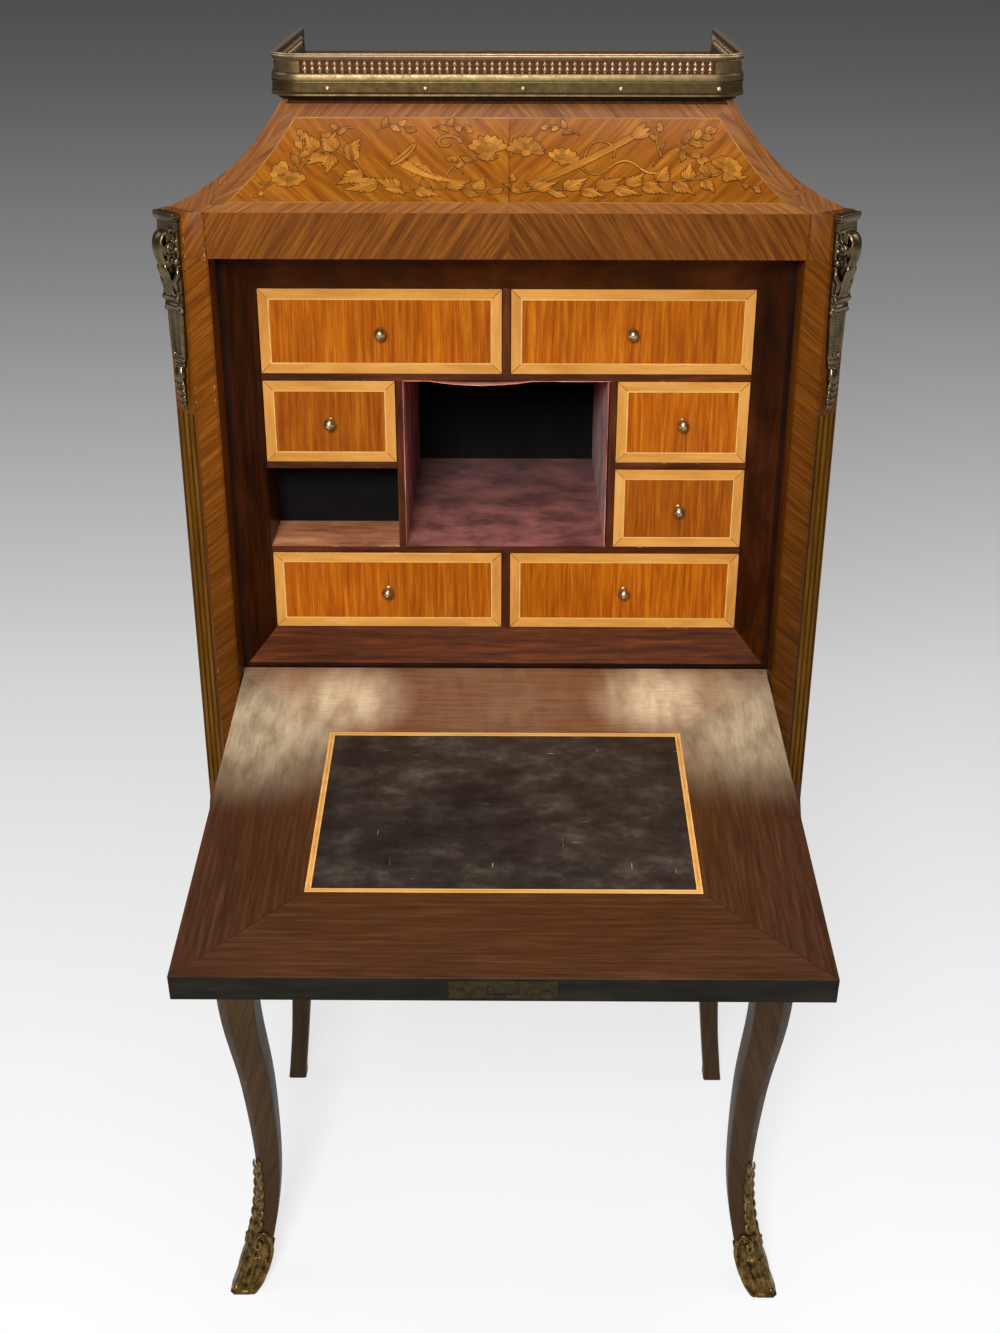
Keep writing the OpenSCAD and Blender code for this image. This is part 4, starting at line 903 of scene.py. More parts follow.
hills = reckon(tree, "ADD", product(tree, pores, 0.3), product(tree, mottle, 2.0))
plug(tree, surface, Base_Color=colour, Roughness=span(tree, mottle, 0.3, 0.7, 0.36, 0.56),
     Normal=relief(tree, hills, 0.35, 0.0005))


def dress(node, finish):
    """Gives a CAD node that keeps its shape its real finish."""
    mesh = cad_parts[node].data
    mesh.materials.clear()
    mesh.materials.append(finish)


dress("writing_leather", leather)
hinge_brass = metal("hinge brass", (150, 122, 72), (70, 52, 30), 0.34, 0.6)
lock_brass = metal("lock brass", (66, 56, 36), (34, 28, 18), 0.42, 0.8, 200.0)
lock_steel = metal("lock steel", (62, 56, 46), (30, 26, 20), 0.45, 0.7, 400.0)
for node in ("fall_hinges", "jamb_hinges", "escutcheon", "strike_plate"):
    dress(node, hinge_brass)
dress("lock_plate", lock_brass)
for node in ("lock_screws", "lock_case", "lock_bolt"):
    dress(node, lock_steel)

# Roof
# Three coved boards that rise from the case to the platform. The front one is a golden
# satinwood panel in a cross-banded border; the sides are kingwood.
side_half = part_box("side_panel_right")[1][0]
front_cove, side_cove = (0.1737, 0.0541, 0.16505), (0.14094, 0.07014, 0.12225)
cove_turn, cove_step, true_enough, shell_deep = radians(41), 0.004, 0.0004, 0.0035


def unroll(spot, way):
    """A place on the cove of one side as (along the edge, up the curve, out of the face)."""
    radius, out, up = front_cove if way == "front" else side_cove
    along, inward = {"front": (spot.x, spot.y - case_front), "left": (spot.y, spot.x + side_half),
                     "right": (spot.y, side_half - spot.x)}[way]
    outward, rise = inward + out, spot.z - case_top - up
    return Vector((along, radius * (atan2(outward, -rise) - atan2(out, up)),
                   radius - hypot(outward, rise)))


def roll(flat, way):
    """The way back from the unrolled cove."""
    radius, out, up = front_cove if way == "front" else side_cove
    turn = atan2(out, up) + flat.y / radius
    inward = (radius - flat.z) * sin(turn) - out
    z = case_top + up - (radius - flat.z) * cos(turn)
    if way == "front":
        return Vector((flat.x, case_front + inward, z))
    return Vector((inward - side_half if way == "left" else side_half - inward, flat.x, z))


def flat_plane(spot):
    return spot.x, spot.y


border_wood = veneer("roof border", (98, 54, 24), (140, 86, 42), (170, 114, 64), streaks=260,
                     contrast=0.24, fibre=0.26, pores=0.3)
panel_wood = veneer("roof satinwood", (108, 55, 8), (141, 79, 16), (170, 107, 30), streaks=120,
                    contrast=0.22, fibre=0.2, pores=0.24, roughness=0.32)
roof_string = veneer("roof string", (128, 84, 36), (148, 102, 48), (166, 120, 62), fibre=0.1,
                     pores=0.15)
panel_low, panel_high = 0.0155, 0.1083
panel_corners, seam_x, seam_half = (0.228, 0.1775), 0.0018, 0.0004
slope = Vector((panel_corners[1] - panel_corners[0], panel_high - panel_low, 0)).normalized()
for way in ("front", "left", "right"):
    cove_end = cove_turn * (front_cove if way == "front" else side_cove)[0]
    roof = open_board("roof_" + way)
    ease(roof, width=0.0004, steepest=40)
    for point in roof.verts:
        point.co = unroll(point.co, way)
    roof.normal_update()

    def outside_face(face):
        return abs(middle_of(face).z) < shell_deep

    cut_at(roof, "y", [i * cove_step for i in range(1, int(cove_end / cove_step))])
    if way == "front":
        cut_at(roof, "x", (seam_x - seam_half, seam_x + seam_half), outside_face)
        cut_at(roof, "y", (panel_low, panel_low + string_steps[1], panel_high,
                           panel_high - string_steps[1]), outside_face)
        for side in (-1, 1):
            across = Vector((side * slope.y, -slope.x, 0))
            for line in (0, string_steps[1]):
                cut(roof, Vector((side * (panel_corners[0] - line), panel_low, 0)), across,
                    outside_face)
    for point in roof.verts:
        if abs(point.co.z) < true_enough and -0.0001 < point.co.y < cove_end + 0.0001:
            point.co.z = 0.0

    def roof_leaf(centre, normal, way=way):
        if abs(centre.z) > true_enough:
            if way == "front" and abs(normal.x) > 0.3 and normal.z > 0.1:
                return flat_plane, 90 + (29 if centre.x > 0 else -29), 60, -0.1, 0
            return flat_plane, 90 if way == "front" else 0, 61, -0.12, 0
        if way != "front":
            return flat_plane, 58 if centre.x < 0.19 else 122, 62, -0.1, 0
        side = -1 if centre.x < 0 else 1
        start = Vector((side * panel_corners[0], panel_low, 0))
        beside = (centre - start).dot(Vector((side * slope.y, -slope.x, 0)))
        outside = max(panel_low - centre.y, centre.y - panel_high, beside)
        if outside < -string_steps[1]:
            left = centre.x < seam_x
            shade = -0.6 if abs(centre.x - seam_x) < seam_half else 0.0 if left else -0.03
            return flat_plane, 128 if left else 50, 63 if left else 65, shade, 1
        if outside < 0:
            return flat_plane, 0, 1, 0.0, 2
        # The top strip of the cove, under the platform's edge, is painted dark: a painted shadow
        if centre.y > cove_end - cove_step:
            return flat_plane, 90, 68, -0.8, 0
        if beside >= outside:
            return flat_plane, 52 * side + 90, 66 + side, -0.2, 0
        return flat_plane, 90 + 40 * side, 68, 0.0 if centre.y < 0.06 else -0.2, 0

    lay(roof, roof_leaf)
    for point in roof.verts:
        point.co = roll(point.co, way)
    roof.normal_update()
    fit(roof, "coved_roof_" + way, "case", "marquetry" if way == "front" else "kingwood",
        (border_wood, panel_wood, roof_string), "roof_" + way)

# Platform, band and gallery
# A veneered top board with a brass band pinned round its edge. In its rebate stands a cast
# gallery: a grooved base, small balusters with two beads each, and a moulded rail.
platform_low, platform_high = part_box("platform")
platform_half, platform_front, corner_r = platform_high[0], platform_low[1], 0.025
corner_y, corner_x, corner_steps = platform_front + corner_r, platform_half - corner_r, 14
gallery_top, gallery_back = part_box("gallery")[1][2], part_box("gallery")[1][1]
# Its edges and underside are painted nearly black: a painted shadow below the brass band
clad("platform", "veneered_platform", "case", "kingwood", (kingwood,),
     lambda centre, normal: (facing(normal), 24 if normal.z > square_on else 0, 71,
                             -0.15 if normal.z > mostly else -0.9, 0), rounding=0.0004)


def run_round(foot, *profile):
    """A closed moulding run round three sides of the platform. Its profile gives in millimetres
    how far each point stands out from the board's edge, and how high over the foot."""
    shape = bmesh.new()
    points = [shape.verts.new((-platform_half - out / 1000, gallery_back, foot + up / 1000))
              for out, up in profile]
    line = [shape.edges.new(pair) for pair in zip(points, points[1:] + points[:1])]
    line = push(shape, line, (0, corner_y - gallery_back, 0))
    line = quarter(shape, line, (-corner_x, corner_y, 0), (0, 0, 1), corner_steps)
    line = push(shape, line, (2 * corner_x, 0, 0))
    line = quarter(shape, line, (corner_x, corner_y, 0), (0, 0, 1), corner_steps)
    push(shape, line, (0, gallery_back - corner_y, 0))
    bmesh.ops.remove_doubles(shape, verts=shape.verts, dist=weld_gap)
    bmesh.ops.holes_fill(shape, edges=[e for e in shape.edges if e.is_boundary])
    bmesh.ops.recalc_face_normals(shape, faces=shape.faces)
    return shape


band_brass = metal("band brass", (96, 79, 49), (52, 42, 26), 0.42, 0.5, 120.0)
gallery_brass = metal("gallery brass", (126, 106, 72), (62, 50, 34), 0.36, 0.5, 140.0)
# Paler brass on the balusters, the rail's upper faces and the pins: a painted highlight
highlight_brass = metal("brass with painted highlight", (226, 198, 160), (138, 112, 84), 0.36, 0.4, 220.0)
band_foot, base_foot = gallery_top - 0.0336, gallery_top - 0.0216
rail_foot, rail_highlight_up = gallery_top - 0.0056, 0.3
band = run_round(band_foot, (0, 0), (1.5, 0), (1.9, 0.6), (1.4, 2), (2, 2.9), (1.2, 3.6),
                 (0.9, 10.6), (1.5, 11), (1.3, 11.7), (0, 11.8))
fit(band, "brass_band", "case", "gallery_brass", (band_brass,), "gallery_band", sharp=40)
base = run_round(base_foot, (-4, 0), (0.3, 0), (0.3, 0.5), (1.2, 0.8), (1.2, 4.4), (0.8, 5.5),
                 (0, 6.3), (-1.4, 6.6), (-3.4, 6.6), (-4, 5.8))
rail = run_round(rail_foot, (-2.2, 0), (0.6, 0), (1, 0.6), (0.3, 1), (0.3, 1.5), (1.4, 1.9),
                 (1.5, 3.4), (0.8, 4.2), (1, 5), (0.5, 5.6), (-2.8, 5.6), (-3.5, 4.8), (-3.5, 1))
# Upward faces of the rail take the paler brass: a painted highlight along its top
for face in rail.faces:
    face.material_index = int(face.normal.z > rail_highlight_up)
foot_z, head_z = base_foot + 0.0064, rail_foot + 0.0002
baluster_r, pitch, wall_x, wall_half = 0.0021, 0.0062, platform_half - 0.0014, 0.0008
swell = ((0, 0.5), (0.07, 0.62), (0.12, 0.5), (0.18, 0.8), (0.28, 1.0), (0.38, 0.8), (0.5, 0.34),
         (0.62, 0.8), (0.72, 1.0), (0.82, 0.8), (0.88, 0.5), (0.93, 0.62), (1, 0.5))
in_front, end_block = int(2 * corner_x / pitch), (0.0022, 0.0023, 0.0005)
places = [((i - (in_front - 1) / 2) * pitch, platform_front + platform_half - wall_x)
          for i in range(in_front)]
places += [(side * wall_x, corner_y + (i + 0.5) * pitch)
           for i in range(int((gallery_back - 0.005 - corner_y) / pitch)) for side in (-1, 1)]
baluster = mesh_of(turned(
    [(0, foot_z)] + [(baluster_r * w, foot_z + (head_z - foot_z) * t) for t, w in swell]
    + [(0, head_z)], (0, 0, 0), (0, 0, 1), 8), "baluster")
row = bmesh.new()
for x, y in places:
    before = len(row.verts)
    row.from_mesh(baluster)
    row.verts.ensure_lookup_table()
    bmesh.ops.translate(row, verts=row.verts[before:], vec=(x, y, 0))
for face in row.faces:
    face.material_index = 1
bpy.data.meshes.remove(baluster)
plates, ends = bmesh.new(), bmesh.new()
for side in (-1, 1):
    start = plates.faces.new([
        plates.verts.new((side * (wall_x + half), corner_y, z)) for half, z in (
            (-wall_half, foot_z), (wall_half, foot_z), (wall_half, head_z), (-wall_half, head_z))])
    bmesh.ops.spin(plates, geom=[start], cent=(side * corner_x, corner_y, 0), axis=(0, 0, 1),
                   angle=-side * pi / 2, steps=12)
    x, y = side * (platform_half - 0.0015), gallery_back - 0.0024
    add_block(ends, (x - end_block[0], y - end_block[1], foot_z + end_block[2]),
              (x + end_block[0], y + end_block[1], gallery_top - end_block[2]))
bmesh.ops.remove_doubles(plates, verts=plates.verts, dist=weld_gap)
bmesh.ops.recalc_face_normals(plates, faces=plates.faces)
ease(ends, width=0.0005)
gallery = bmesh.new()
for part in (base, rail, row, plates, ends):
    part_mesh = mesh_of(part, "part")
    gallery.from_mesh(part_mesh)
    bpy.data.meshes.remove(part_mesh)
fit(gallery, "cast_gallery", "case", "gallery_brass", (gallery_brass, highlight_brass), "gallery",
    sharp=40)
dress("gallery_pins", highlight_brass)

# Marquetry of the roof
# Sprays of flowers, a horn on a cord and a quiver on a strap, sawn from paler woods, scorched
# at their roots in hot sand and let into the front board, each with a thin dark glue line.
maple = veneer("inlay maple", (132, 78, 20), (162, 102, 32), (186, 127, 52), streaks=60,
               fibre=0.14, pores=0.1)
olive = veneer("inlay olive", (112, 66, 20), (142, 90, 30), (164, 112, 46), streaks=60,
               fibre=0.14, pores=0.1)
plum = veneer("inlay plum", (124, 68, 18), (156, 94, 30), (180, 116, 48), streaks=60,
              fibre=0.14, pores=0.1)
glue = veneer("glue line", (50, 24, 8), (66, 34, 12), (82, 46, 18), fibre=0.1, pores=0.1)
MAPLE, OLIVE, PLUM, GLUE = range(4)
inlays = bmesh.new()
inlay_grain = inlays.loops.layers.uv.new("grain")
inlay_tone = inlays.faces.layers.float.new("tone")
inlay_lift, inlay_rise, glue_w = 0.00009, 0.0000009, 0.00048
leaf_grown, leaf_wide, bloom_grown, heart_share = 1.28, 1.55, 1.22, 0.2
tip_tone, scorch_reach, shift_along, shift_across = 0.06, 2.2, 0.31, 0.17
laid = [0]


def inlay(start, bend, end, half_width, wood, steps=7, scorch=0.45):
    """One sawn piece on the unrolled cove, in millimetres, from its root to its tip. Its glue
    line is a slightly larger dark piece under it."""
    start, bend, end = (Vector((x, s, 0)) / 1000 for x, s in (start, bend, end))
    length = (end - start).length
    laid[0] += 1
    for rim in (glue_w, 0.0):
        grown = bmesh.ops.create_grid(inlays, x_segments=steps, y_segments=2, size=0.5)["verts"]
        for point in grown:
            t, side = point.co.x + 0.5, point.co.y * 2
            far = t + (2 * t - 1) * rim / length
            spot = start * (1 - far) ** 2 + bend * 2 * far * (1 - far) + end * far ** 2
            run = ((bend - start) * (1 - t) + (end - bend) * t).normalized()
            half = half_width(t) / 1000 + rim
            lift = inlay_lift * (1 if rim else 2) + inlay_rise * laid[0]
            spot += Vector((-run.y, run.x, 0)) * half * side
            point.co = Vector((spot.x, spot.y, lift))
        run = (end - start).normalized()
        for face in {f for v in grown for f in v.link_faces}:
            centre = middle_of(face)
            t = max(0.0, min(1.0, (centre - start).dot(run) / length))
            face.material_index = GLUE if rim else wood
            face[inlay_tone] = 0.0 if rim else tip_tone - scorch * max(0.0, 1 - t * scorch_reach)
            if face.normal.z < 0:
                face.normal_flip()
            for loop in face.loops:
                flat = loop.vert.co
                loop[inlay_grain].uv = (
                    flat.dot(run) + laid[0] * shift_along,
                    flat.x * run.y - flat.y * run.x + laid[0] * shift_across)


def leaf(x, s, degrees, length, width, curl=0.25, wood=MAPLE, lobes=0):
    """A leaf from its root at an angle, curled to one side, its edge plain or lobed."""
    turn, length, width = radians(degrees), length * leaf_grown, width * leaf_wide
    ahead, aside = (cos(turn), sin(turn)), (-sin(turn), cos(turn))
    bend = [x + ahead[0] * length / 2 + aside[0] * curl * length,
            s + ahead[1] * length / 2 + aside[1] * curl * length]
    end = (x + ahead[0] * length, s + ahead[1] * length)
    inlay((x, s), bend, end, lambda t: width / 2 * sin(pi * min(1, t ** 0.85 + 0.001)) ** 0.8
          * (1 + (0.28 * sin(lobes * 2 * pi * t) if lobes else 0)) + 0.05, wood,
          steps=max(7, 4 * lobes))
    if width > 3:
        inlay((x, s), bend, end, lambda t: 0.16 * (1 - t) + 0.02, GLUE, 5, 0)


def frond(x, s, degrees, length, wood=MAPLE):
    """A toothed leaf: a long middle lobe with three pairs of side lobes."""
    turn = radians(degrees)
    for share, spread, size in ((0.1, 34, 0.5), (0.34, 30, 0.42), (0.6, 26, 0.3)):
        spot = x + cos(turn) * length * share, s + sin(turn) * length * share
        for side in (-1, 1):
            leaf(*spot, degrees + side * spread, length * size, length * size * 0.26,
                 0.16 * side, wood)
    leaf(x, s, degrees, length, length * 0.17, 0.08, wood)


def grow(*leaves):
    """Leaves along a branch. The long ones are toothed; a short one also has its width, curl
    and lobes."""
    for x, s, degrees, length, *short in leaves:
        if short:
            width, curl, lobes = short
            leaf(x, s, degrees, length, width, curl, OLIVE, lobes)
        else:
            frond(x, s, degrees, length)


def oval(half, least=0.05):
    return lambda t: half * sqrt(max(0.0, 1 - (2 * t - 1) ** 2)) + least


def stem(*points, width=0.5, wood=OLIVE):
    """A stem through a few points, in bowed lengths."""
    for i in range(0, len(points) - 2, 2):
        inlay(points[i], points[i + 1], points[i + 2], lambda t: width, wood, 8, 0)


def bloom(x, s, radius, petals, facing, sweep, wood=MAPLE, heart=PLUM):
    """A flower: a fan or a ring of petals, a smaller inner row and its heart."""
    radius *= bloom_grown
    for row, (reach, width) in enumerate(((1.0, 1.0), (0.62, 0.8))):
        for i in range(petals):
            turn = radians(facing + sweep * ((i + 0.5 * row + 0.25) / petals - 0.5))
            tip = (x + cos(turn) * radius * reach, s + sin(turn) * radius * reach)
            half = radius * width * radians(sweep) / petals * 0.56
            inlay((x, s), ((x + tip[0]) / 2, (s + tip[1]) / 2), tip,
                  lambda t, half=half: half * t ** 0.7 * sqrt(max(0.0, 1 - t ** 9)) + 0.05,
                  wood if row == 0 else OLIVE, 6, 0.5)
    heart_r = radius * heart_share
    inlay((x - heart_r, s), (x, s), (x + heart_r, s), oval(heart_r, 0.02), heart, 6, 0)


def spray(points, leaves, size, first=1, wood=MAPLE):
    """A stem with leaves by turns on its two sides, smaller towards the tip, and a bud."""
    stem(*points)
    start, bend, end = (Vector(p) for p in points[-3:])
    for i in range(leaves):
        t = (i + 0.6) / leaves
        spot = start * (1 - t) ** 2 + bend * 2 * t * (1 - t) + end * t ** 2
        run = (bend - start) * (1 - t) + (end - bend) * t
        side = first * (-1) ** i
        turn = atan2(run.y, run.x) * 180 / pi + side * (48 - 10 * t)
        leaf(spot.x, spot.y, turn, size * (1.1 - 0.5 * t), size * 0.34, -0.16 * side,
             wood if i % 3 else OLIVE, 2 if size > 9 else 0)
    run = end - bend
    leaf(end.x, end.y, atan2(run.y, run.x) * 180 / pi, size * 0.6, size * 0.36, 0.0, PLUM)


# Left leaf of the panel: carnation, branch, horn on its cord, C-scroll and shell
bloom(-180, 51, 13, 8, 235, 250)
spray([(-176, 56), (-168, 72), (-172, 90)], 4, 10)
spray([(-188, 44), (-198, 38), (-203, 27)], 2, 8, -1)
stem((-172, 55), (-160, 82), (-143, 76), (-130, 72), (-120, 54), (-104, 40), (-84, 30),
     (-60, 33), (-40, 36), (-28, 29), (-12, 30), width=0.7)
grow(
    (-158, 75, 118, 17), (-150, 77, 66, 15), (-141, 75, 128, 19), (-134, 71, 54, 17),
    (-127, 64, 100, 16), (-146, 74, 262, 18), (-152, 74, 222, 15), (-118, 54, 214, 21),
    (-112, 48, 246, 17), (-104, 41, 196, 24), (-98, 38, 322, 15), (-86, 34, 150, 20),
    (-76, 33, 338, 18), (-62, 33, 118, 12, 4.5, 0.2, 2), (-50, 34, 24, 17),
    (-36, 33, 330, 13, 5, -0.2, 2), (-26, 31, 64, 15), (-16, 30, 20, 11, 4.5, -0.2, 2))
inlay((-30, 44), (-60, 40), (-82, 66), lambda t: 1.4 + 7.6 * t ** 2.2, MAPLE, 14, 0.5)
for i in range(-2, 3):
    inlay((-58 + i, 50 - i), (-72 + i * 1.4, 56 - i * 1.6), (-84 + i * 3.2, 68 - i * 2.8),
          lambda t: 0.16, GLUE, 6, 0)
inlay((-76, 84), (-84, 70), (-97, 61), oval(3.4), PLUM, 12, 0.2)
inlay((-78, 82), (-85, 71), (-95, 63), oval(1.7), GLUE, 10, 0)
for i in range(9):
    x, s = -36 - i * 4.6, 52 + 9 * sin(i * 1.1)
    inlay((x, s), (x - 2.3, s + 6 * cos(i * 1.1)), (x - 4.6, 52 + 9 * sin((i + 1) * 1.1)),
          lambda t: 0.55, MAPLE, 6, 0)
for i in range(10):
    turn, wide = i * 0.62, 12 - i * 0.95
    spot = (-50 + wide * cos(turn), 84 + wide * 0.72 * sin(turn))
    turn, wide = turn + 0.62, wide - 0.95
    tip = (-50 + wide * cos(turn), 84 + wide * 0.72 * sin(turn))
    middle = ((spot[0] + tip[0]) / 2, (spot[1] + tip[1]) / 2 + 0.3)
    inlay(spot, middle, tip, lambda t, i=i: 1.5 - i * 0.08, OLIVE, 5, 0)
bloom(-16, 74, 15, 7, 96, 150)
bloom(-16, 76, 9, 5, 276, 120, OLIVE)
spray([(-24, 68), (-34, 62), (-44, 66)], 3, 9, -1)
spray([(-108, 96), (-96, 104), (-82, 98)], 4, 9)
spray([(-62, 98), (-48, 104), (-34, 97)], 4, 8, -1)
spray([(-128, 98), (-140, 100), (-150, 93)], 3, 8)
# Right leaf: fan-shaped bloom, palmette, quiver on its strap, acanthus and branches
bloom(15, 74, 14, 6, 120, 110)
bloom(17, 74, 12, 6, 40, 90, OLIVE)
bloom(46, 64, 13, 7, 74, 160, MAPLE, OLIVE)
inlay((27, 43), (66, 66), (104, 90), lambda t: 3.6 - 0.9 * t, MAPLE, 16, 0.3)
for t in (0.08, 0.2, 0.5, 0.8, 0.92):
    x, s = 27 + 77 * t, 43 + 47 * t
    inlay((x - 1.8, s + 3.0), (x, s), (x + 1.8, s - 3.0), lambda t: 0.7, PLUM, 4, 0)
for turn in (12, 30, 48):
    leaf(103, 89, turn, 15, 3.4, 0.0, MAPLE, 0)
    leaf(30, 45, 180 + turn, 12, 3.2, 0.1, OLIVE, 0)
stem((60, 60), (72, 44), (84, 58), (98, 74), (110, 58), (122, 46), (132, 60), width=0.9,
     wood=MAPLE)
stem((64, 70), (70, 92), (84, 84), (92, 80), (88, 70), width=0.8, wood=MAPLE)
stem((8, 28), (30, 36), (52, 33), (90, 30), (120, 44), (150, 42), (176, 52), width=0.7)
grow(
    (12, 30, 150, 9, 4, 0.2, 2), (22, 33, 24, 17), (34, 33, 330, 14, 5, -0.2, 2),
    (46, 33, 34, 20), (60, 32, 338, 17), (72, 33, 30, 22), (86, 34, 342, 19), (98, 36, 46, 18),
    (110, 40, 330, 20), (124, 42, 62, 17), (136, 42, 318, 18), (148, 44, 78, 16),
    (160, 46, 300, 15), (168, 49, 116, 13, 5, 0.2, 2))
bloom(180, 57, 12, 8, 30, 250)
spray([(121, 60), (128, 78), (142, 82), (156, 86), (168, 94)], 5, 11)
spray([(142, 82), (150, 70), (160, 68)], 3, 10, -1)
spray([(184, 50), (194, 44), (203, 34)], 3, 8)
spray([(128, 70), (122, 86), (126, 98)], 3, 8, -1)
spray([(60, 92), (48, 102), (34, 99)], 4, 8)
spray([(4, 30), (2, 38), (4, 46)], 2, 7)
for point in inlays.verts:
    point.co = roll(point.co, "front")
fit(inlays, "roof_marquetry", "case", "marquetry", (maple, olive, plum, glue), sharp=60)

# Corner mounts
# Cast bronze on the cants: a capital, a console with volutes on its cheeks, acanthus leaves
# and rolls, a tapered term with a row of beads, a collar, a bell and a drop of husks.
bronze = metal("mount bronze", (122, 106, 78), (50, 43, 30), 0.22, 0.6, 70.0)
cast_voxel = 0.00055


def through(points, t):
    """A smooth path through points, from 0 at the first to 1 at the last."""
    place = t * (len(points) - 1)
    i = min(int(place), len(points) - 2)
    f = place - i
    a, b, c, d = (points[max(i - 1, 0)], points[i], points[i + 1],
                  points[min(i + 2, len(points) - 1)])
    return 0.5 * (2 * b + (c - a) * f + (2 * a - 5 * b + 4 * c - d) * f * f
                  + (3 * b - a - 3 * c + d) * f ** 3)


def model(wax, points, width, height, out, rings=12, around=8):
    """Adds a stroke of wax along a path: a ball drawn out, with its half width across and its
    half height outwards given along it."""
    made = bmesh.ops.create_uvsphere(wax, u_segments=around, v_segments=rings, radius=1.0)
    points, a_bit = [Vector(p) for p in points], 0.02
    for point in made["verts"]:
        t = 0.5 + atan2(point.co.z, hypot(point.co.x, point.co.y)) / pi
        turn = atan2(point.co.y, point.co.x)
        middle = through(points, t)
        run = through(points, min(1.0, t + a_bit)) - through(points, max(0.0, t - a_bit))
        facing_out = out(middle) if callable(out) else Vector(out)
        across = run.cross(facing_out).normalized()
        up = across.cross(run).normalized()
        at_tip = hypot(point.co.x, point.co.y) < 1e-5
        w, h = (0.0, 0.0) if at_tip else (width(t), height(t))
        point.co = middle + across * cos(turn) * w + up * sin(turn) * h


def even(size):
    """A stroke of one thickness with round ends."""
    return lambda t: size * sqrt(sqrt(max(0.0, 1 - (2 * t - 1) ** 6)))


def lance(size, fullest=0.45):
    """A stroke that swells and comes to a point."""
    return lambda t: size * (sin(pi / 2 * t / fullest) if t < fullest
                             else cos(pi / 2 * (t - fullest) / (1 - fullest))) ** 0.8 + 1e-4


def cast(wax, voxel, smoothing):
    """The wax cast in one piece: remeshed fine and slightly smoothed."""
    bmesh.ops.recalc_face_normals(wax, faces=wax.faces)
    rough = link(bpy.data.objects.new("wax", mesh_of(wax, "wax")))
    rough_mesh = rough.data
    shell = rough.modifiers.new("shell", "REMESH")
    shell.mode, shell.voxel_size = "VOXEL", voxel
    rubbed = rough.modifiers.new("rubbed", "SMOOTH")
    rubbed.factor, rubbed.iterations = 0.5, smoothing
    bpy.context.view_layer.update()
    done = rough.evaluated_get(bpy.context.evaluated_depsgraph_get())
    solid = bmesh.new()
    solid.from_mesh(done.to_mesh())
    done.to_mesh_clear()
    bpy.data.objects.remove(rough)
    bpy.data.meshes.remove(rough_mesh)
    return solid


def coil(centre, start, turns, wide, narrow, steps=22):
    """The points of a volute, from its outside inwards, in the plane that stands off the cant."""
    points = []
    for i in range(steps + 1):
        t = i / steps
        radius = wide + (narrow - wide) * t ** 0.8
        turn = radians(start) + turns * 2 * pi * t
        points.append((centre[0], centre[1] - radius * cos(turn), centre[2] + radius * sin(turn)))
    return points


def ball(wax, at, radius):
    """A round lump of wax."""
    grown = bmesh.ops.create_icosphere(wax, subdivisions=3, radius=radius)["verts"]
    bmesh.ops.translate(wax, verts=grown, vec=at)


wax = bmesh.new()
# Millimetres on the cant: X across, -Y outwards, Z down from the case's top


def stroke(points, width, height, rings=12, around=8, out=(0, -1, 0)):
    model(wax, points, width, height, out, rings, around)


def crossbar(half, y, z, bow, lift, wide, high, rings):
    """A roll that lies across the cant and bows outwards in its middle."""
    stroke([(-half, y, z), (0, y - bow, z + lift), (half, y, z)], even(wide), even(high), rings)


for half, deep, low_z, high_z, taper in (
        (14.2, 8.2, -4.6, -0.4, 1), (13.2, 7.4, -6.8, -4, 1), (12.2, 6, -14.6, -6, 1),
        (11.4, 3.8, -80, -14, 0.96), (7, 10.5, -44, -15, 0.9), (10.2, 5.6, -80, -66, 1),
        (10.4, 3.4, -122, -78, 0.8), (6.6, 3.4, -129, -122, 1), (3.6, 1.6, -163, -131, 0.6)):
    add_block(wax, (-half, -deep, low_z), (half, 0, high_z), taper)
for bar in ((12.6, -5.6, -15.2, 0.6, 0, 1.4, 1.4, 12), (9.4, -4.8, -69.4, 0.8, 0.6, 3.4, 3.4, 16),
            (9.4, -4.2, -77.4, 0.6, 0.4, 3, 3, 16), (8.4, -3, -123.6, 0.4, 0, 1.5, 1.6, 14),
            (7.4, -2.2, -126.8, 0.4, 0, 1.5, 1.6, 14)):
    crossbar(*bar)
stroke([(0, -6, -16.5), (0, -12, -17.4), (0, -15.2, -25), (0, -13.8, -36), (0, -9.4, -47),
        (0, -7.2, -58), (0, -6.6, -68)], lambda t: 7.2 - 1.6 * t, lambda t: 2.4, 30, 12)
stroke([(0, -16.2, -19), (0, -17.4, -28), (0, -14.4, -40), (0, -10.2, -52), (0, -9, -62)],
       lance(1.7, 0.35), lance(1.6, 0.35), 18)
for side in (-1, 1):
    stroke(coil((side * 8.4, -8.2, -27.4), 120, 1.35, 6.4, 1.4), lambda t: 1.9 - 0.5 * t,
           lambda t: 2.7, 44, out=(side, 0, 0))
    stroke([(side * 9.6, -4.6, -43), (side * 11, -5, -49), (side * 8.6, -6.4, -57),
            (side * 10, -5.4, -65)], lance(2.7, 0.5), lance(2.6, 0.5), 18)
    stroke(coil((side * 9, -5, -70), 60, 1.2, 3.8, 1.0), lambda t: 1.6 - 0.3 * t, lambda t: 2.4, 36,
           out=(side, 0, 0))
    stroke([(side * 8.4, -3.4, -80), (side * 7.6, -3.7, -100), (side * 6.7, -3.6, -120)],
           even(1.5), even(1.6), 14)
    for x, y, z, size in ((9.4, -8.2, -27.4, 2.7), (9.8, -4.6, -39.4, 3.2), (10.4, -3.4, -80.4, 2.7),
                          (5, -3.6, -118.4, 2.1)):
        ball(wax, (side * x, y, z), size)
    for y, z, far in ((-14.6, -20, 6.2), (-12, -40, 6)):
        stroke([(side * 0.8, y, z), (side * far * 0.6, y - 0.2, z - 5), (side * far, y + 3.4, z - 15)],
               lance(3.4, 0.5), lance(1.9, 0.5), 16)
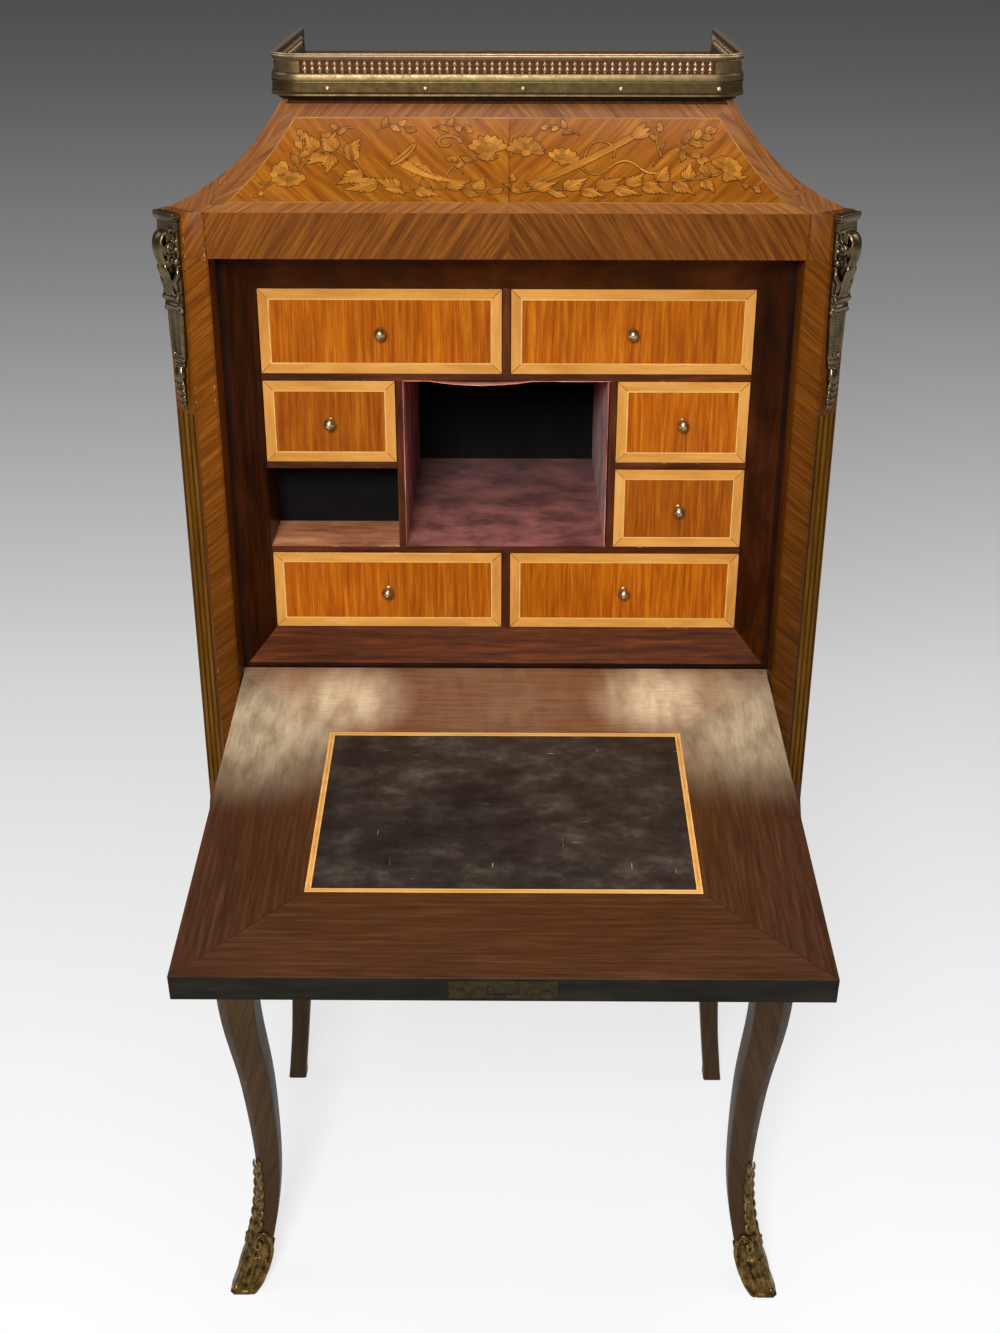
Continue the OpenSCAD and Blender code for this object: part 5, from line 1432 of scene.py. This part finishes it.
bead_z, bead_gap, bead_count, bead_r = -82.6, 2.5, 14, 1.2
for i in range(bead_count):
    ball(wax, (0, -3.7, bead_z - i * bead_gap), bead_r)
stroke([(0, -2.2, -128), (0, -3, -133), (0, -3, -138), (0, -2, -142)],
       lambda t: 3.4 + 2.6 * sin(pi * min(1, t * 0.92)),
       lambda t: 2.6 + 2.2 * sin(pi * min(1, t * 0.92)), 16, 12)
husk_z, husk_gap, husk_less = -141.6, 6.2, 0.14
for i in range(4):
    z, size = husk_z - i * husk_gap, 1 - i * husk_less
    for side in (-1, 1):
        stroke([(side * 0.6, -2, z), (side * 4.4 * size, -4.4 * size, z - 1.4),
                (side * 6.2 * size, -2.8 * size, z - 6.6)], lance(2.2 * size, 0.55),
               lance(2.1 * size, 0.5))
    stroke([(0, -2.4, z + 0.6), (0, -5.2 * size, z - 2.4), (0, -2.6 * size, z - 7)],
           lance(2.1 * size), lance(1.9 * size))
mount_cast = cast(wax, cast_voxel * 1000, 4)
mount_place = (Matrix.Translation((cant / 2 - post_half, case_front + cant / 2, case_top))
               @ Matrix.Rotation(radians(-45), 4, "Z") @ Matrix.Scale(0.001, 4))
bmesh.ops.transform(mount_cast, matrix=mount_place, verts=mount_cast.verts)


def hand(shape, side):
    """The piece as it is for the left side, or its mirror image for the right one."""
    made = shape.copy()
    if side > 0:
        bmesh.ops.scale(made, verts=made.verts, vec=(-1, 1, 1))
        bmesh.ops.reverse_faces(made, faces=made.faces)
    return made


for side, word in hands:
    fit(hand(mount_cast, side), "cast_mount_" + word, "case", "bronze", (bronze,),
        "corner_mount_" + word, sharp=180)
mount_cast.free()

# Shoes of the front feet
# Gilt bronze sabots: a fluted shoe round the toe with a C-scroll on each cheek, and from it a
# spray of husks and leaves that climbs the leg's outer corner. The gilding has worn to brown.
gilt = metal("gilt bronze", (146, 116, 62), (46, 35, 18), 0.28, 0.8, 120.0)
leg = bmesh.new()
leg.from_mesh(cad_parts["front_post_left"].data)
bmesh.ops.remove_doubles(leg, verts=leg.verts, dist=weld_gap)
leg_skin, knee_z, shoe_top = BVHTree.FromBMesh(leg), 0.3, 0.040
levels = {}
for point in leg.verts:
    if point.co.z < knee_z:
        levels.setdefault(round(point.co.z, 4), []).append(point.co.copy())
leg.free()
leg_line = sorted((z, sum(ring, Vector()) / len(ring)) for z, ring in levels.items()
                  if len(ring) >= 8)


def leg_middle(z):
    for (z0, first), (z1, second) in zip(leg_line, leg_line[1:]):
        if z <= z1:
            return first.lerp(second, max(0.0, (z - z0) / (z1 - z0)))
    return leg_line[-1][1]


outer_corner, toe_z, far_out = 225, 0.6, 0.1


def on_leg(z, degrees, lift=0.0):
    """A place on the left leg's skin, in millimetres: its height, and its angle from the
    outer corner towards the front."""
    middle = leg_middle(max(z, toe_z) / 1000)
    middle.z = max(z, toe_z) / 1000
    turn = radians(outer_corner + degrees)
    way = Vector((cos(turn), sin(turn), 0))
    hit = leg_skin.ray_cast(middle + way * far_out, -way)[0]
    return (hit + way * lift / 1000) * 1000


def off_leg(spot):
    """The way outwards from the leg at a place."""
    middle = leg_middle(spot.z / 1000) * 1000
    return Vector((spot.x - middle.x, spot.y - middle.y, 0)).normalized()


shoe = bmesh.new()
shoe.from_mesh(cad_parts["sabot_left"].data)
bmesh.ops.remove_doubles(shoe, verts=shoe.verts, dist=weld_gap)
bmesh.ops.bisect_plane(shoe, geom=shoe.verts[:] + shoe.edges[:] + shoe.faces[:], dist=1e-7,
                       plane_co=(0, 0, shoe_top), plane_no=(0, 0, 1), clear_outer=True)
bmesh.ops.holes_fill(shoe, edges=[e for e in shoe.edges if e.is_boundary])
bmesh.ops.scale(shoe, verts=shoe.verts, vec=(1000,) * 3)


def leg_stroke(path, width, height, rings=14):
    """A stroke of wax on the leg's skin through (height, angle, lift) places."""
    model(shoe, [on_leg(*place) for place in path], width, height, off_leg, rings)


def fleshy(broad, thin):
    """A stroke that narrows evenly from its root to its tip."""
    return lambda t: (broad + (thin - broad) * t) if 0 < t < 1 else 0.0


for angle, top in ((-75, 46), (-45, 58), (-15, 66), (15, 70), (45, 68), (75, 56)):
    leg_stroke([(24, angle, 0.2), ((24 + top) / 2, angle, 0.6), (top, angle * 0.8, 0.2)],
               fleshy(5.2, 4.0), fleshy(1.6, 1.2), 14)
leg_stroke([(60, 4, 0.8), (90, 5, 1.0), (125, 6, 1.0), (162, 5, 0.6)], fleshy(7.2, 4.2),
           fleshy(3.2, 2.4), 26)
for face in (-1, 1):
    leg_stroke([(z, angle * face, lift) for z, angle, lift in (
        (16, 104, 1.2), (30, 98, 1.8), (48, 90, 2.0), (62, 70, 2.0), (68, 46, 2.2), (62, 26, 2.4),
        (52, 26, 2.8), (50, 40, 3.0), (56, 46, 3.0))], fleshy(2.6, 1.9), fleshy(2.4, 2.2), 40)
    ball(shoe, on_leg(57, 40 * face, 3.0), 3.1)
    for angle, low_z, size in ((16, 8, 2.8), (38, 7, 3.0), (62, 7, 3.0), (86, 9, 2.7)):
        leg_stroke([(44, angle * 0.8 * face, 0.8), (28, angle * face, 2.0),
                    (low_z, angle * face, 1.0)], lance(size, 0.55), lance(2.2, 0.55), 16)
    leg_stroke([(2.2, 4 * face, 1.4), (2.6, 60 * face, 1.4), (3.0, 118 * face, 1.4),
                (3.2, 170 * face, 1.4)], even(1.6), even(1.5), 26)
    leg_stroke([(38, 96 * face, 1.2), (37, 124 * face, 1.4), (36, 150 * face, 1.4),
                (36, 176 * face, 1.4)], even(1.2), even(1.3), 22)
    for i, z in enumerate((70, 84, 97, 110, 123, 136, 148)):
        size = 1 - i * 0.06
        leg_stroke([(z - 5, 6 * face, 1.2), (z + 4, 26 * size * face, 2.8),
                    (z + 12, 30 * size * face, 1.2)], lance(2.9 * size, 0.55),
                   lance(2.3 * size, 0.5), 14)
leg_stroke([(46, 0, 1.6), (30, 0, 2.8), (14, 0, 2.6), (5, 0, 2.4)], lance(4.0, 0.5),
           lance(3.0, 0.55), 18)
ball(shoe, on_leg(5, 0, 0.6), 3.8)
leg_stroke([(98, 14, 2.0), (106, 26, 2.6), (113, 18, 3.0), (108, 8, 3.0)], even(1.9), even(1.9),
           16)
for i, z in enumerate((64, 79, 93, 107, 121, 134, 147, 157)):
    size = 1 - i * 0.06
    leg_stroke([(z - 7, 0, 2.0), (z + 1, 0, 3.8 * size), (z + 9, 0, 1.8)], lance(2.7 * size, 0.5),
               lance(2.3 * size, 0.5), 12)
shoe_cast = cast(shoe, cast_voxel * 1000, 3)
bmesh.ops.scale(shoe_cast, verts=shoe_cast.verts, vec=(0.001,) * 3)
for side, word in hands:
    fit(hand(shoe_cast, side), "cast_sabot_" + word, "case", "gilt_bronze", (gilt,),
        "sabot_" + word, sharp=180)
shoe_cast.free()

low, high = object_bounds()
